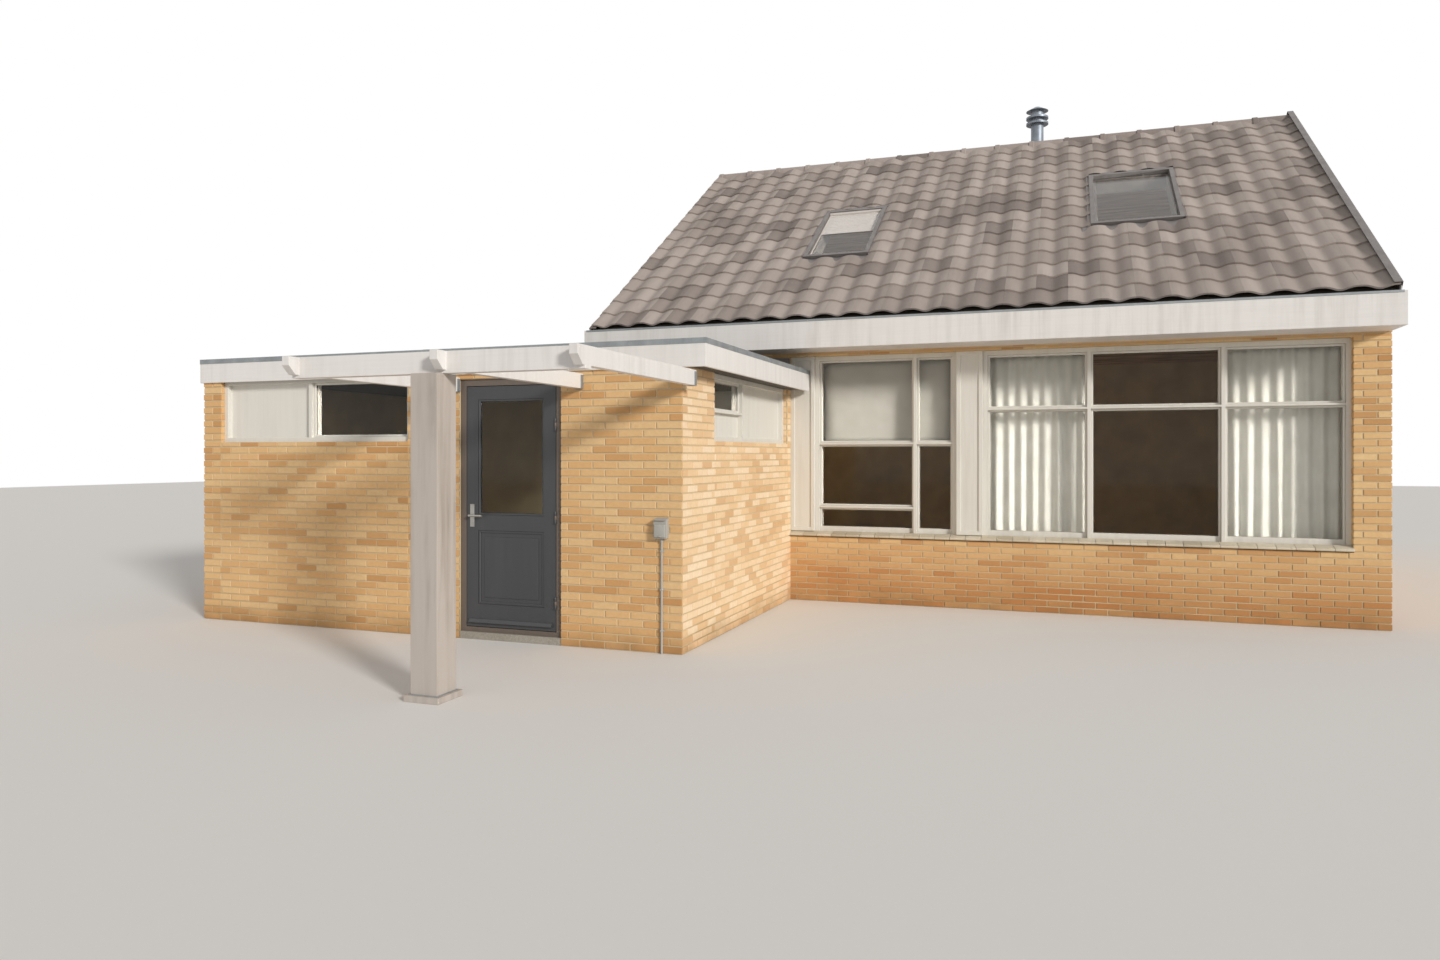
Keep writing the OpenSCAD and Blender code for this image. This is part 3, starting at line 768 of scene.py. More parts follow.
def put(name: str, mesh: Mesh, slot: str, look: str = "", body: str = BODY,
        smooth: float = 0.0) -> bpy.types.Object:
    """Makes a finished piece of a mesh.

    Args:
        name: the piece's name.
        mesh: the mesh, in the row frame.
        slot: the record's material slot.
        look: the finish, where it isn't the one of the slot's name.
        body: the body it rides on.
        smooth: edges flatter than this angle, in degrees, are shaded smooth.

    Returns:
        The piece.
    """
    piece = bpy.data.objects.new(name, mesh)
    bpy.context.scene.collection.objects.link(piece)
    mesh.materials.clear()
    mesh.materials.append(finish(look or slot))
    if smooth:
        mesh.shade_smooth()
        mesh.set_sharp_from_angle(angle=math.radians(smooth))
    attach(piece, body)
    LOG.info("%s: %d faces", name, len(mesh.polygons))
    return piece


def islands(node: str) -> list[tuple[Vector, Vector]]:
    """Tells where a node's solids lie.

    Args:
        node: the node's name.

    Returns:
        The lowest and the highest corner of each solid, from left to right.
    """
    mesh = bmesh.new()
    mesh.from_mesh(frame["nodes"][node].data)
    bmesh.ops.remove_doubles(mesh, verts=mesh.verts, dist=WELD)
    left = set(mesh.verts)
    found = []
    while left:
        group = [left.pop()]
        for vert in group:
            for edge in vert.link_edges:
                other = edge.other_vert(vert)
                if other in left:
                    left.discard(other)
                    group.append(other)
        found.append(tuple(Vector([pick(v.co[i] for v in group) for i in range(3)])
                           for pick in (min, max)))
    mesh.free()
    return sorted(found, key=lambda pair: tuple(round(c, 4) for c in pair[0]))


class Shape:
    """Solids put together in one mesh."""

    def __init__(self) -> None:
        """Starts an empty mesh."""
        self.mesh = bmesh.new()

    def box(self, low: tuple[float, ...], high: tuple[float, ...], ease: float,
            steps: int = 1) -> None:
        """Adds a box with eased edges.

        Args:
            low: its lowest corner.
            high: its highest corner.
            ease: how far its edges are cut back.
            steps: how many faces round each edge.
        """
        made = bmesh.ops.create_cube(self.mesh, size=1.0)["verts"]
        for vert in made:
            vert.co = Vector([(a + b) / 2 + c * (b - a) for c, a, b in zip(vert.co, low, high)])
        edges = list({e for v in made for e in v.link_edges})
        bmesh.ops.bevel(self.mesh, geom=edges, offset=ease, segments=steps, affect="EDGES",
                        profile=0.5)

    def loft(self, rings: list[list[Vector]], hoop: bool = False, ends: bool = True) -> None:
        """Adds a skin through closed rings of points.

        Args:
            rings: the rings, each with the same number of points.
            hoop: whether the last ring joins the first.
            ends: whether the first and the last ring are filled, if it is no hoop.
        """
        rows = [[self.mesh.verts.new(p) for p in ring] for ring in rings]
        for low, high in zip(rows, rows[1:] + rows[:hoop]):
            for corners in zip(low, low[1:] + low[:1], high[1:] + high[:1], high):
                self.mesh.faces.new(corners)
        if ends and not hoop:
            self.mesh.faces.new(rows[0][::-1])
            self.mesh.faces.new(rows[-1])

    def sweep(self, outline: Outline, across: Vector, up: Vector, *stops: Vector) -> None:
        """Adds a solid with one section from stop to stop.

        Args:
            outline: the section's points.
            across: the direction of their first number.
            up: the direction of their second number.
            *stops: where the section's origin lies, one after the other.
        """
        self.loft([[stop + across * u + up * v for u, v in outline] for stop in stops])

    def turn(self, profile: Outline, foot: Vector, axis: Vector, sides: int) -> None:
        """Adds a turned solid.

        Args:
            profile: distances up the axis, each with its radius.
            foot: where the axis begins.
            axis: the axis's direction.
            sides: how many faces it has round it.
        """
        first = axis.orthogonal().normalized()
        second = axis.cross(first).normalized()
        ring = [first * math.cos(a) + second * math.sin(a) for a in
                (math.tau * i / sides for i in range(sides))]
        self.loft([[foot + axis * height + spot * radius for spot in ring]
                   for height, radius in profile])

    def border(self, low: Vector, high: Vector, width: float, inset: float, near: float,
               far: float, axis: int = 1, foot: float = 0.0) -> None:
        """Adds a mitred border round an upright rectangle.

        Args:
            low: the rectangle's lowest corner.
            high: its highest corner.
            width: how wide the border is.
            inset: how far inside the rectangle it begins.
            near: where it starts on the axis that goes through the rectangle.
            far: where it ends on that axis.
            axis: 0 where the rectangle faces along x, 1 along y.
            foot: how much wider its lower member is.
        """
        ease = min(width, abs(far - near)) * 0.3
        shoulder = near + math.copysign(ease, far - near)
        rings = []
        for by, depth, lift in ((inset, far, 0.0), (inset, shoulder, 0.0), (inset + ease, near, 0.0),
                                (inset + width - ease, near, foot),
                                (inset + width, shoulder, foot), (inset + width, far, foot)):
            sides = (low[1 - axis] + by, high[1 - axis] - by)
            levels = (low.z + by + lift, high.z - by)
            corners = [(sides[u], levels[v]) for u, v in ((0, 0), (1, 0), (1, 1), (0, 1))]
            rings.append([Vector((s, depth, z) if axis else (depth, s, z)) for s, z in corners])
        self.loft(rings, hoop=True)

    def done(self) -> Mesh:
        """Closes the mesh, with its faces outward.

        Returns:
            The mesh.
        """
        bmesh.ops.recalc_face_normals(self.mesh, faces=self.mesh.faces)
        made = bpy.data.meshes.new("shape")
        self.mesh.to_mesh(made)
        self.mesh.free()
        return made


class Side(Enum):
    """A side of the building, by the axis that it faces along and its way on that axis."""

    FRONT = (1, -1)
    REAR = (1, 1)
    RIGHT = (0, 1)

    def __init__(self, axis: int, way: int) -> None:
        """Names a side's two numbers."""
        self.axis, self.way = axis, way


@dataclass(frozen=True)
class Patch:
    """A rectangle of brickwork on a plane, in metres along it and up it, under a gable."""

    left: float
    right: float
    low: float
    high: float
    gable_middle: float = 0.0
    gable_top: float = 1000.0
    gable_slope: float = 0.0


@dataclass
class Bricklayer:
    """Lays half-bond brickwork with geometry nodes."""

    SIZES: ClassVar[tuple[str, ...]] = (
        "Left", "Right", "Low", "High", "Gable middle", "Gable top", "Gable slope", "Pitch",
        "Course", "Joint", "Proud", "Ease", "Odd", "Bond")
    look: str
    brick: float = 0.210
    course: float = 0.0625
    joint: float = 0.012
    proud: float = 0.006
    ease: float = 0.0022
    sunk: float = 0.004
    least_overlap: tuple[float, float] = (0.018, 0.008)
    turns: Triple = (0.004, 0.003, 0.006)
    seed: int = 11
    tree: Grower = field(init=False)

    def __post_init__(self) -> None:
        """Builds the tree for later use."""
        g = self.tree = Grower("brick courses", dict.fromkeys(self.SIZES, "Float"))
        (left, right, low, high, middle, top, slope, pitch, course, joint, proud, ease, odd,
         bond) = (g[size] for size in self.SIZES)
        wide, tall = pitch - joint, course - joint
        columns = math.ceil((right - left) / pitch) + 3.0
        rows = math.ceil((high - low) / course) + 2.0
        index = g.out("GeometryNodeInputIndex")
        column = index % columns + (math.floor(left / pitch) - 1.0)
        row = math.floor(index / columns) + math.floor(low / course)
        shift = (row + odd + 1000.0) % 2.0 * (pitch * bond)
        points = g.points(columns * rows, g.vector(column * pitch + (shift + wide * 0.5),
                                                   row * course + course * 0.5, 0.0))
        x, y, _ = g.position()
        reach_x, reach_y = (size * 0.5 - overlap
                            for size, overlap in zip((wide, tall), self.least_overlap))
        outside = ((x + reach_x < left) + (x - reach_x > right) + (y + reach_y < low)
                   + (y - reach_y > high) + (y > top - abs(x - middle) * slope))
        kept = g.out("GeometryNodeDeleteGeometry", {0: points, 1: outside}, domain="POINT")
        card = g.out("GeometryNodeMeshGrid", {0: wide, 1: tall, 2: 2, 3: 2})
        card = g.out("GeometryNodeTransform", {0: card, "Translation": (0, 0, -self.sunk)})
        block, block_top = g.extruded(card, proud - ease + self.sunk)
        block, block_top = g.extruded(block, ease, block_top)
        x, y, z = g.position()
        shrunk = g.vector(x * (1.0 - ease * 2.0 / wide), y * (1.0 - ease * 2.0 / tall), z)
        eased = g.out("GeometryNodeSetPosition", {0: block, 1: block_top, 2: shrunk})
        laid = g.laid(kept, eased, *(g.random(-turn, turn, salt)
                                     for salt, turn in enumerate(self.turns, 2)))
        x, y, z = g.position()
        x = x.most(left).least(right)
        y = y.most(low).least(high).least(top - abs(x - middle) * slope)
        g.close(g.out("GeometryNodeSetPosition", {0: laid, 2: g.vector(x, y, z)}))

    def lay(self, corner: Vector, along: Vector, length: float, patches: list[Patch],
            odd: int = 0, pitch: float = 0.0, bond: float = 0.5) -> list[Mesh]:
        """Lays one wall's patches in one bond.

        Args:
            corner: the foot of the wall's surface.
            along: the direction in which it runs.
            length: the wall's whole length, which the bond is stretched to fit.
            patches: what of the wall is brick.
            odd: 1 where the other wall at the corner starts on a whole brick.
            pitch: the distance from brick to brick, or 0 to fit it to the length.
            bond: how far every other course is shifted, as a share of the pitch.

        Returns:
            A mesh for each patch, in the row frame.
        """
        if not pitch:
            halves = round((length + self.joint) / ((self.brick + self.joint) / 2))
            pitch = 2 * (length + self.joint) / halves
        made = []
        for patch in patches:
            self.seed += 1
            sizes = (*astuple(patch), pitch, self.course, self.joint, self.proud, self.ease,
                     float(odd), bond)
            mesh = self.tree.grow(dict(zip(self.SIZES, sizes))
                                  | {"Seed": self.seed, "Material": finish(self.look)})
            mesh.transform(frame_of(corner, along, Z))
            made.append(mesh)
        return made

    def reveals(self, edges: list[tuple[float, float, Vector]], inward: Vector, depth: float,
                low: float, high: float) -> list[Mesh]:
        """Turns the bricks into an opening, one to each course.

        Args:
            edges: the x and y of each edge, and the direction in which its reveal looks.
            inward: the direction into the wall.
            depth: how deep the reveals are.
            low: where they begin.
            high: where they end.

        Returns:
            The reveals' meshes.
        """
        made = []
        for x, y, facing in edges:
            way = 1 if Z.cross(facing).dot(inward) > 0 else -1
            ends = sorted((0.0, way * depth))
            made += self.lay(Vector((x, y, 0)), inward * way, depth, [Patch(*ends, low, high)],
                             pitch=depth + self.joint, bond=0.0)
        return made

    def piece(self, name: str, meshes: list[Mesh], look: str = "") -> None:
        """Makes one piece of a wall's meshes, in the layer's own look or in another one."""
        put(name, join(meshes), "brick", look or self.look)


@dataclass
class HouseWalls:
    """Brick skins on the house's walls, with bricks turned into the window reveals."""

    layer: Bricklayer
    top: float = 2.900
    behind_gutter: float = 0.06
    above_sill: float = 0.06

    def front(self) -> None:
        """Lays the front wall: the base, the strip under the gutter and the right pier."""
        low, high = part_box("left_gable_wall")[0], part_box("party_wall")[1]
        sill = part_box("front_wall_base")[1].z
        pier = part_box("party_wall")[0].x
        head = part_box("front_wall_head")[0].z
        p = self.layer.proud
        length = high.x - low.x
        made = self.layer.lay(Vector((low.x, low.y, 0)), X, length, [
            Patch(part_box("front_window_sill")[0].x - low.x, length + p, 0.0, sill),
            Patch(pier - low.x - p, length + p, sill, head),
            Patch(-p, length + p, head, self.top + self.behind_gutter)])
        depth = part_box("living_window_frame")[0].y - low.y
        made += self.layer.reveals([(pier, low.y, -X)], Y, depth, sill + self.above_sill, head)
        self.layer.piece("front_wall_bricks", made)

    def gable(self, name: str, node: str, along: Vector) -> None:
        """Lays one gable wall up to the roof.

        Args:
            name: the piece's name.
            node: the wall's node.
            along: the direction in which its courses run.
        """
        low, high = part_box(node)
        length = high.y - low.y
        slope = (high.z - self.top) / (length / 2)
        foot = (high.x, low.y, 0) if along.y > 0 else (low.x, high.y, 0)
        patch = Patch(0.0, length, 0.0, high.z, length / 2, high.z + 0.02, slope)
        self.layer.piece(name, self.layer.lay(Vector(foot), along, length, [patch], odd=1))

    def rear(self) -> None:
        """Lays the rear wall round its windows."""
        low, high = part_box("left_gable_wall")[0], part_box("party_wall")[1]
        length = high.x - low.x
        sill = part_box("rear_wall_base")[1].z
        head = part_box("rear_wall_head")[0].z
        windows = islands("rear_window_frames")
        p = self.layer.proud
        patches = [Patch(-p, length + p, 0.0, sill),
                   Patch(-p, length + p, head, self.top + self.behind_gutter)]
        edges = [low.x - p] + [c.x for pair in windows for c in pair] + [high.x + p]
        for left, right in zip(edges[0::2], edges[1::2]):
            patches.append(Patch(high.x - right - (p if right < high.x else 0),
                                 high.x - left + (p if left > low.x else 0), sill, head))
        made = self.layer.lay(Vector((high.x, high.y, 0)), -X, length, patches)
        for left, right in windows:
            made += self.layer.reveals([(left.x, high.y, X), (right.x, high.y, -X)], -Y,
                                       high.y - windows[0][1].y, sill, head)
        self.layer.piece("rear_wall_bricks", made)

    def build(self) -> None:
        """Lays the four walls."""
        self.front()
        self.gable("left_gable_bricks", "left_gable_wall", -Y)
        self.gable("party_wall_bricks", "party_wall", Y)
        self.rear()


@dataclass
class AnnexeWalls:
    """Brick skins on the annexe's walls, interrupted by its door and its strips of windows."""

    layer: Bricklayer

    def front(self) -> None:
        """Lays the front wall on both sides of the door, and under the strip window."""
        low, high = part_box("annexe_front_wall_left")[0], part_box("annexe_front_wall_right")[1]
        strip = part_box("strip_window_frame")
        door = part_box("annexe_door_frame")
        p = self.layer.proud
        length = high.x - low.x
        left, right, door_left, door_right = (c.x - low.x for c in strip + door)
        sill, top = strip[0].z, high.z
        made = self.layer.lay(Vector((low.x, low.y, 0)), X, length, [
            Patch(-p, left, 0.0, sill), Patch(-p, left + p, sill, top),
            Patch(left, right, 0.0, sill), Patch(right, door_left, 0.0, sill),
            Patch(right - p, door_left, sill, top),
            Patch(door_left, door_right, door[1].z, top),
            Patch(door_right, length + p, 0.0, top)])
        edges = [(strip[0].x, low.y, X), (strip[1].x, low.y, -X)]
        made += self.layer.reveals(edges, Y, strip[0].y - low.y, sill, top)
        self.layer.piece("annexe_front_bricks", made)

    def left(self) -> None:
        """Lays the left wall."""
        low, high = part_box("annexe_left_wall")
        length = high.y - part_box("annexe_front_wall_left")[0].y
        self.layer.piece("annexe_left_bricks", self.layer.lay(
            Vector((low.x, high.y, 0)), -Y, length, [Patch(0.0, length, 0.0, high.z)], odd=1))

    def rear(self) -> None:
        """Lays the rear wall, which ends at the house's gable."""
        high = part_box("annexe_rear_wall")[1]
        length = high.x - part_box("annexe_left_wall")[0].x
        self.layer.piece("annexe_rear_bricks", self.layer.lay(
            Vector((high.x, high.y, 0)), -X, length,
            [Patch(0.0, length + self.layer.proud, 0.0, high.z)]))

    def side(self) -> None:
        """Lays the side wall that faces the window front, under its strip window, in a paler brick
        that paints the sunlight on it.
        """
        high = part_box("annexe_side_wall")[1]
        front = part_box("annexe_front_wall_right")[0].y
        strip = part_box("side_window_frame")
        length = high.y - front
        left, right = (c.y - front for c in strip)
        made = self.layer.lay(Vector((high.x, front, 0)), Y, length, [
            Patch(0.0, left, 0.0, high.z), Patch(left, right, 0.0, strip[0].z),
            Patch(right, length, 0.0, high.z)], odd=1)
        edges = [(high.x, strip[0].y, Y), (high.x, strip[1].y, -Y)]
        made += self.layer.reveals(edges, -X, high.x - strip[1].x, strip[0].z, high.z)
        # The paler brick copy paints the sunlight on this wall; the bricks are the same as the
        # front's.
        self.layer.piece("annexe_side_bricks", made, "bleached_brick")

    def build(self) -> None:
        """Lays the four walls."""
        self.front()
        self.left()
        self.rear()
        self.side()


@dataclass(frozen=True)
class Slope:
    """One slope of the roof: its foot on the left, its directions and its length."""

    foot: Vector
    up: Vector
    out: Vector
    length: float

    @classmethod
    def of(cls, side: Side, slab: float = 0.217) -> "Slope":
        """Reads a slope from its slab.

        Args:
            side: the side of the house that it is on.
            slab: the slab's upright thickness.

        Returns:
            The slope.
        """
        low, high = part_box(f"roof_{side.name.lower()}_slope")
        run, rise = high.y - low.y, high.z - low.z - slab
        foot = Vector((low.x, low.y if side is Side.FRONT else high.y, high.z - rise))
        return cls(foot, Vector((0, -side.way * run, rise)).normalized(),
                   Vector((0, side.way * rise, run)).normalized(), math.hypot(run, rise))

    def at(self, x: float, along: float, out: float = 0.0) -> Vector:
        """The point at x, so far up the slope and so far out of it."""
        return Vector((x, self.foot.y, self.foot.z)) + self.up * along + self.out * out

    def window(self, low: Vector, high: Vector, frame_inset: float = 0.05) -> tuple[float, float]:
        """How far up the slope a roof window's middle lies, and half its length."""
        return (((low + high) / 2 - self.foot).dot(self.up),
                (high.y - low.y) / 2 / self.up.y - frame_inset)


@dataclass
class RoofTiles:
    """Interlocking roof tiles on both slopes, and half-round ridge tiles."""

    cover: float = 0.297
    gauge: float = 0.323
    thick: float = 0.016
    wave: float = 0.034
    lift: float = 0.004
    lap: float = 0.060
    ridge_tile: float = 0.45
    ridge_steps: int = 12
    ridge_wall: float = 0.016
    tree: Grower = field(init=False)

    def __post_init__(self) -> None:
        """Builds the tile tree: courses of one waved tile, each course over the last."""
        sizes = ("Cover", "Gauge", "Tile length", "Thickness", "Wave", "Lift", "Columns", "Rows")
        g = Grower("tile courses", dict.fromkeys(sizes[:6], "Float")
                   | dict.fromkeys(sizes[6:], "Int"))
        self.tree = g
        cover, gauge, long, thick, wave, lift, columns, rows = (g[size] for size in sizes)
        index = g.out("GeometryNodeInputIndex")
        up = math.floor(index / columns) * gauge + g.random(-0.0015, 0.0015, 5)
        points = g.points(columns * rows, g.vector(index % columns * cover, up, lift))
        card = g.out("GeometryNodeMeshGrid", {0: cover, 1: long, 2: 13, 3: 2})
        x, y, _ = g.position()
        roll = ((x / cover * math.tau).cosine() + 1.0) * 0.5
        rise = (1.0 - roll ** 1.6) * wave + (y / long - 0.5) * (thick * -1.35)
        place = g.vector(x + cover * 0.5, y + long * 0.5, rise)
        tile, _ = g.extruded(g.out("GeometryNodeSetPosition", {0: card, 2: place}), thick)
        g.close(g.laid(points, tile, g.random(-0.003, 0.003, 2), 0.0,
                       g.random(-0.002, 0.002, 3)))

    def courses(self, slope: Slope) -> tuple[int, float]:
        """How many courses a slope has, and the distance from one to the next."""
        count = math.ceil((slope.length - 0.02) / self.gauge)
        return count, (slope.length - 0.03) / count

    def columns(self) -> tuple[int, float]:
        """Divides a course into tiles.

        Returns:
            How many it has, and the width that each covers.
        """
        low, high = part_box("roof_front_slope")
        count = round((high.x - low.x) / self.cover)
        return count, (high.x - low.x) / count

    def slope(self, side: Side, seed: int) -> None:
        """Tiles one slope, and cuts the tiles round its roof windows.

        Args:
            side: the side of the house that it is on.
            seed: the seed of the tiles' small turns and tones.
        """
        slope = Slope.of(side)
        rows, gauge = self.courses(slope)
        columns, cover = self.columns()
        mesh = self.tree.grow({
            "Columns": columns, "Rows": rows, "Cover": cover, "Gauge": gauge,
            "Tile length": gauge + self.lap, "Thickness": self.thick, "Wave": self.wave,
            "Lift": self.lift, "Seed": seed, "Material": finish("roof_tiles")})
        for vert in mesh.vertices:
            vert.co.y = min(vert.co.y, slope.length - 0.01)
        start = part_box("roof_front_slope")[max(0, side.way)].x
        mesh.transform(frame_of(slope.at(start, 0.0), X * -side.way, slope.up))
        if side is Side.FRONT:
            self.cut_round_windows(mesh, slope)
        put(f"{side.name.lower()}_roof_tiles", mesh, "roof_tiles", smooth=40)

    def cut_round_windows(self, mesh: Mesh, slope: Slope) -> None:
        """Cuts the tiles along each roof window.

        Args:
            mesh: the tiles, in the row frame.
            slope: the slope that they are on.
        """
        made = bmesh.new()
        made.from_mesh(mesh)
        for low, high in islands("roof_window_frames"):
            centre, half = slope.window(low, high)

            def within(face: bmesh.types.BMFace, aside: float, beyond: float) -> bool:
                """Whether a face's middle lies in the window, or so near to it."""
                spot = face.calc_center_median()
                return (low.x - aside < spot.x < high.x + aside
                        and abs((spot - slope.foot).dot(slope.up) - centre) < half + beyond)

            near = [f for f in made.faces if within(f, 0.4, 0.5)]
            for place, normal in ((low, X), (high, X), (slope.at(0.0, centre - half), slope.up),
                                  (slope.at(0.0, centre + half), slope.up)):
                corners = list({v for f in near for v in f.verts})
                edges = list({e for f in near for e in f.edges})
                done = bmesh.ops.bisect_plane(made, geom=corners + edges + near, plane_co=place,
                                              plane_no=normal, dist=WELD)
                near = [g for g in done["geom"] if isinstance(g, bmesh.types.BMFace)]
            bmesh.ops.delete(made, geom=[f for f in near if within(f, 0.0, 0.0)],
                             context="FACES")
        made.to_mesh(mesh)
        made.free()

    def ridge(self) -> None:
        """Lays half-round ridge tiles, each with a raised collar over the next one's end."""
        low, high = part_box("ridge_capping")
        radius = (high.y - low.y) / 2
        count = round((high.x - low.x) / self.ridge_tile)
        step = (high.x - low.x) / count
        turns = [math.pi * k / self.ridge_steps for k in range(self.ridge_steps + 1)]
        maker = random.Random(5)
        meshes = []
        for i in range(count):
            rings = []
            for along, share in ((0.0, 1.0), (0.055, 1.0), (0.062, 0.93), (step + 0.02, 0.90)):
                at = min(low.x + i * step + along, high.x)
                spots = ([(radius * share, a) for a in turns]
                         + [(radius * share - self.ridge_wall, a) for a in reversed(turns)])
                rings.append([Vector((at, (low.y + high.y) / 2 + r * math.cos(a),
                                      high.z - radius + r * math.sin(a))) for r, a in spots])
            shape = Shape()
            shape.loft(rings)
            mesh = shape.done()
            tag = mesh.attributes.new("tone", "FLOAT", "POINT")
            tag.data.foreach_set("value", [maker.random()] * len(mesh.vertices))
            meshes.append(mesh)
        piece = put("ridge_tiles", join(meshes), "ridge_tiles", smooth=35)
        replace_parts(piece, "ridge_capping")

    def build(self) -> None:
        """Tiles both slopes and the ridge."""
        self.slope(Side.FRONT, 3)
        self.slope(Side.REAR, 4)
        self.ridge()


def cloth(name: str, wide: int, spots: list[Vector], chart: Outline,
          slot: str) -> bpy.types.Object:
    """Makes a thin cloth of rows of points, with a UV map in metres of flat cloth.

    Args:
        name: the piece's name.
        wide: how many points a row has.
        spots: the points, row by row.
        chart: their places on the flat cloth.
        slot: the record's material slot.

    Returns:
        The piece.
    """
    faces = [(i, i + 1, i + wide + 1, i + wide) for i in range(len(spots) - wide)
             if (i + 1) % wide]
    mesh = bpy.data.meshes.new(name)
    mesh.from_pydata(spots, [], faces)
    layer = mesh.uv_layers.new(name="flat")
    for loop in mesh.loops:
        layer.data[loop.index].uv = chart[loop.vertex_index]
    piece = put(name, mesh, slot, smooth=80)
    skin = piece.modifiers.new("thickness", "SOLIDIFY")
    skin.thickness = 0.0012
    skin.offset = 0.0
    return piece


@dataclass
class Hangings:
    """The living room's curtains, gathered in pleats, and the kitchen's roller blind."""

    gap: float = 0.006
    hem: float = 0.004
    fullness: float = 0.72
    pleats: int = 8
    steps: int = 10
    rows: int = 26
    bar: float = 0.026
    blind_rows: int = 12
    blind_columns: int = 8
    sag: float = 0.0015
    bar_half: float = 0.0075
    bar_inset: float = 0.002
    cap: float = 0.004
    cap_half: float = 0.008

    def line(self, low: Vector, high: Vector, height: float, seed: int) -> list[Vector]:
        """Draws a curtain's pleats as one level line.

        Args:
            low: the curtain's lowest corner.
            high: its highest corner.
            height: where the line is, from 0 at the hem to 1 at the rail.
            seed: the seed of the pleats' depths and shifts.

        Returns:
            The line's points, from left to right.
        """
        maker = random.Random(seed)
        shifts = [maker.uniform(-0.2, 0.2) for _ in range(self.pleats + 1)]
        depths = [maker.uniform(0.75, 1.0) for _ in range(self.pleats + 1)]
        count = self.pleats * self.steps
        points = []
        for i in range(count + 1):
            k = min(i // self.steps, self.pleats - 1)
            local = i / count * self.pleats - k
            sway = shifts[k] * (1 - height) * math.sin(math.pi * local) / self.pleats * 0.5
            x = low.x + (high.x - low.x) * (i / count + sway)
            reach = (high.y - low.y) * self.fullness / 2 * depths[k] * (1.0 - 0.35 * height)
            points.append(Vector((min(max(x, low.x), high.x),
                                  (low.y + high.y) / 2 + reach * math.sin(math.tau * local),
                                  low.z + (high.z - low.z) * height)))
        return points

    def curtains(self) -> None:
        """Hangs a curtain where each curtain solid stands."""
        for i, (low, high) in enumerate(islands("living_curtains")):
            low += Vector((self.gap, 0, self.hem))
            high -= Vector((self.gap, 0, 0))
            spots, chart = [], []
            for row in range(self.rows + 1):
                line = self.line(low, high, row / self.rows, 21 + i)
                along = 0.0
                for before, spot in zip(line[:1] + line, line):
                    along += (spot - before).length
                    chart.append((along, spot.z - low.z))
                spots += line
            piece = cloth(f"living_curtain_{('left', 'right')[i]}",
                          self.pleats * self.steps + 1, spots, chart, "curtain_cloth")
            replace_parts(piece, "living_curtains")

    def blind(self) -> None:
        """Hangs the roller blind, with its bar in the hem."""
        rows, columns = self.blind_rows, self.blind_columns
        low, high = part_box("kitchen_blind")
        middle = (low.y + high.y) / 2
        wide, drop = high.x - low.x - 2 * self.gap, high.z - low.z - self.bar
        spots = []
        for r in range(rows + 1):
            sag = self.sag * math.sin(math.pi * r / rows)
            spots += [Vector((low.x + self.gap + wide * c / columns,
                              middle + sag * math.sin(c * 0.9),
                              low.z + self.bar + drop * r / rows)) for c in range(columns + 1)]
        piece = cloth("kitchen_blind_cloth", columns + 1, spots,
                      [(spot.x - low.x, spot.z - low.z) for spot in spots], "blind_cloth")
        shape = Shape()
        start, end = low.x + self.bar_inset, high.x - self.bar_inset
        for left, right, deep, ease, steps in ((start, end, self.bar_half, 0.004, 3),
                                               (start, start + self.cap, self.cap_half, 0.001, 1),
                                               (end - self.cap, end, self.cap_half, 0.001, 1)):
            shape.box((left, middle - deep, low.z), (right, middle + deep, low.z + self.bar),
                      ease, steps)
        hem = put("kitchen_blind_bar", shape.done(), "blind_cloth", "grey_plastic", smooth=30)
        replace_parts(piece, "kitchen_blind")

    def build(self) -> None:
        """Hangs the curtains and the blind."""
        self.curtains()
        self.blind()


@dataclass
class Repeater:
    """Sets one shape in a row, each with its own tone and a slight turn."""

    seed: int = 70
    tree: Grower = field(init=False)

    def __post_init__(self) -> None:
        """Builds the tree for later use."""
        g = self.tree = Grower("shapes in a row", {
            "Item": "Object", "Count": "Int", "Start": "Vector", "Step": "Vector",
            "Turn": "Float"})
        along = g.out("ShaderNodeVectorMath", {
            0: g["Step"], "Scale": g.out("GeometryNodeInputIndex")}, operation="SCALE")
        place = g.out("ShaderNodeVectorMath", {0: g["Start"], 1: along}, operation="ADD")
        item = g.out("GeometryNodeObjectInfo", {"Object": g["Item"]}, "Geometry")
        turns = [g["Turn"] * g.random(-1.0, 1.0, salt) for salt in (2, 3, 4)]
        g.close(g.laid(g.points(g["Count"], place), item, *turns))

    def row(self, item: Mesh, start: Vector, step: Vector, count: int, look: str,
            turn: float = 0.0) -> Mesh:
        """Repeats a shape along a line.

        Args:
            item: the shape, round its own origin.
            start: where the first one goes.
            step: from one to the next.
            count: how many there are.
            look: their finish.
            turn: the largest random turn, in radians.

        Returns:
            The row as one mesh.
        """
        self.seed += 1
        model = bpy.data.objects.new("item", item)
        bpy.context.scene.collection.objects.link(model)
        made = self.tree.grow({"Item": model, "Count": count, "Start": start, "Step": step,
                               "Turn": turn, "Seed": self.seed, "Material": finish(look)})
        bpy.data.objects.remove(model)
        bpy.data.meshes.remove(item)
        return made


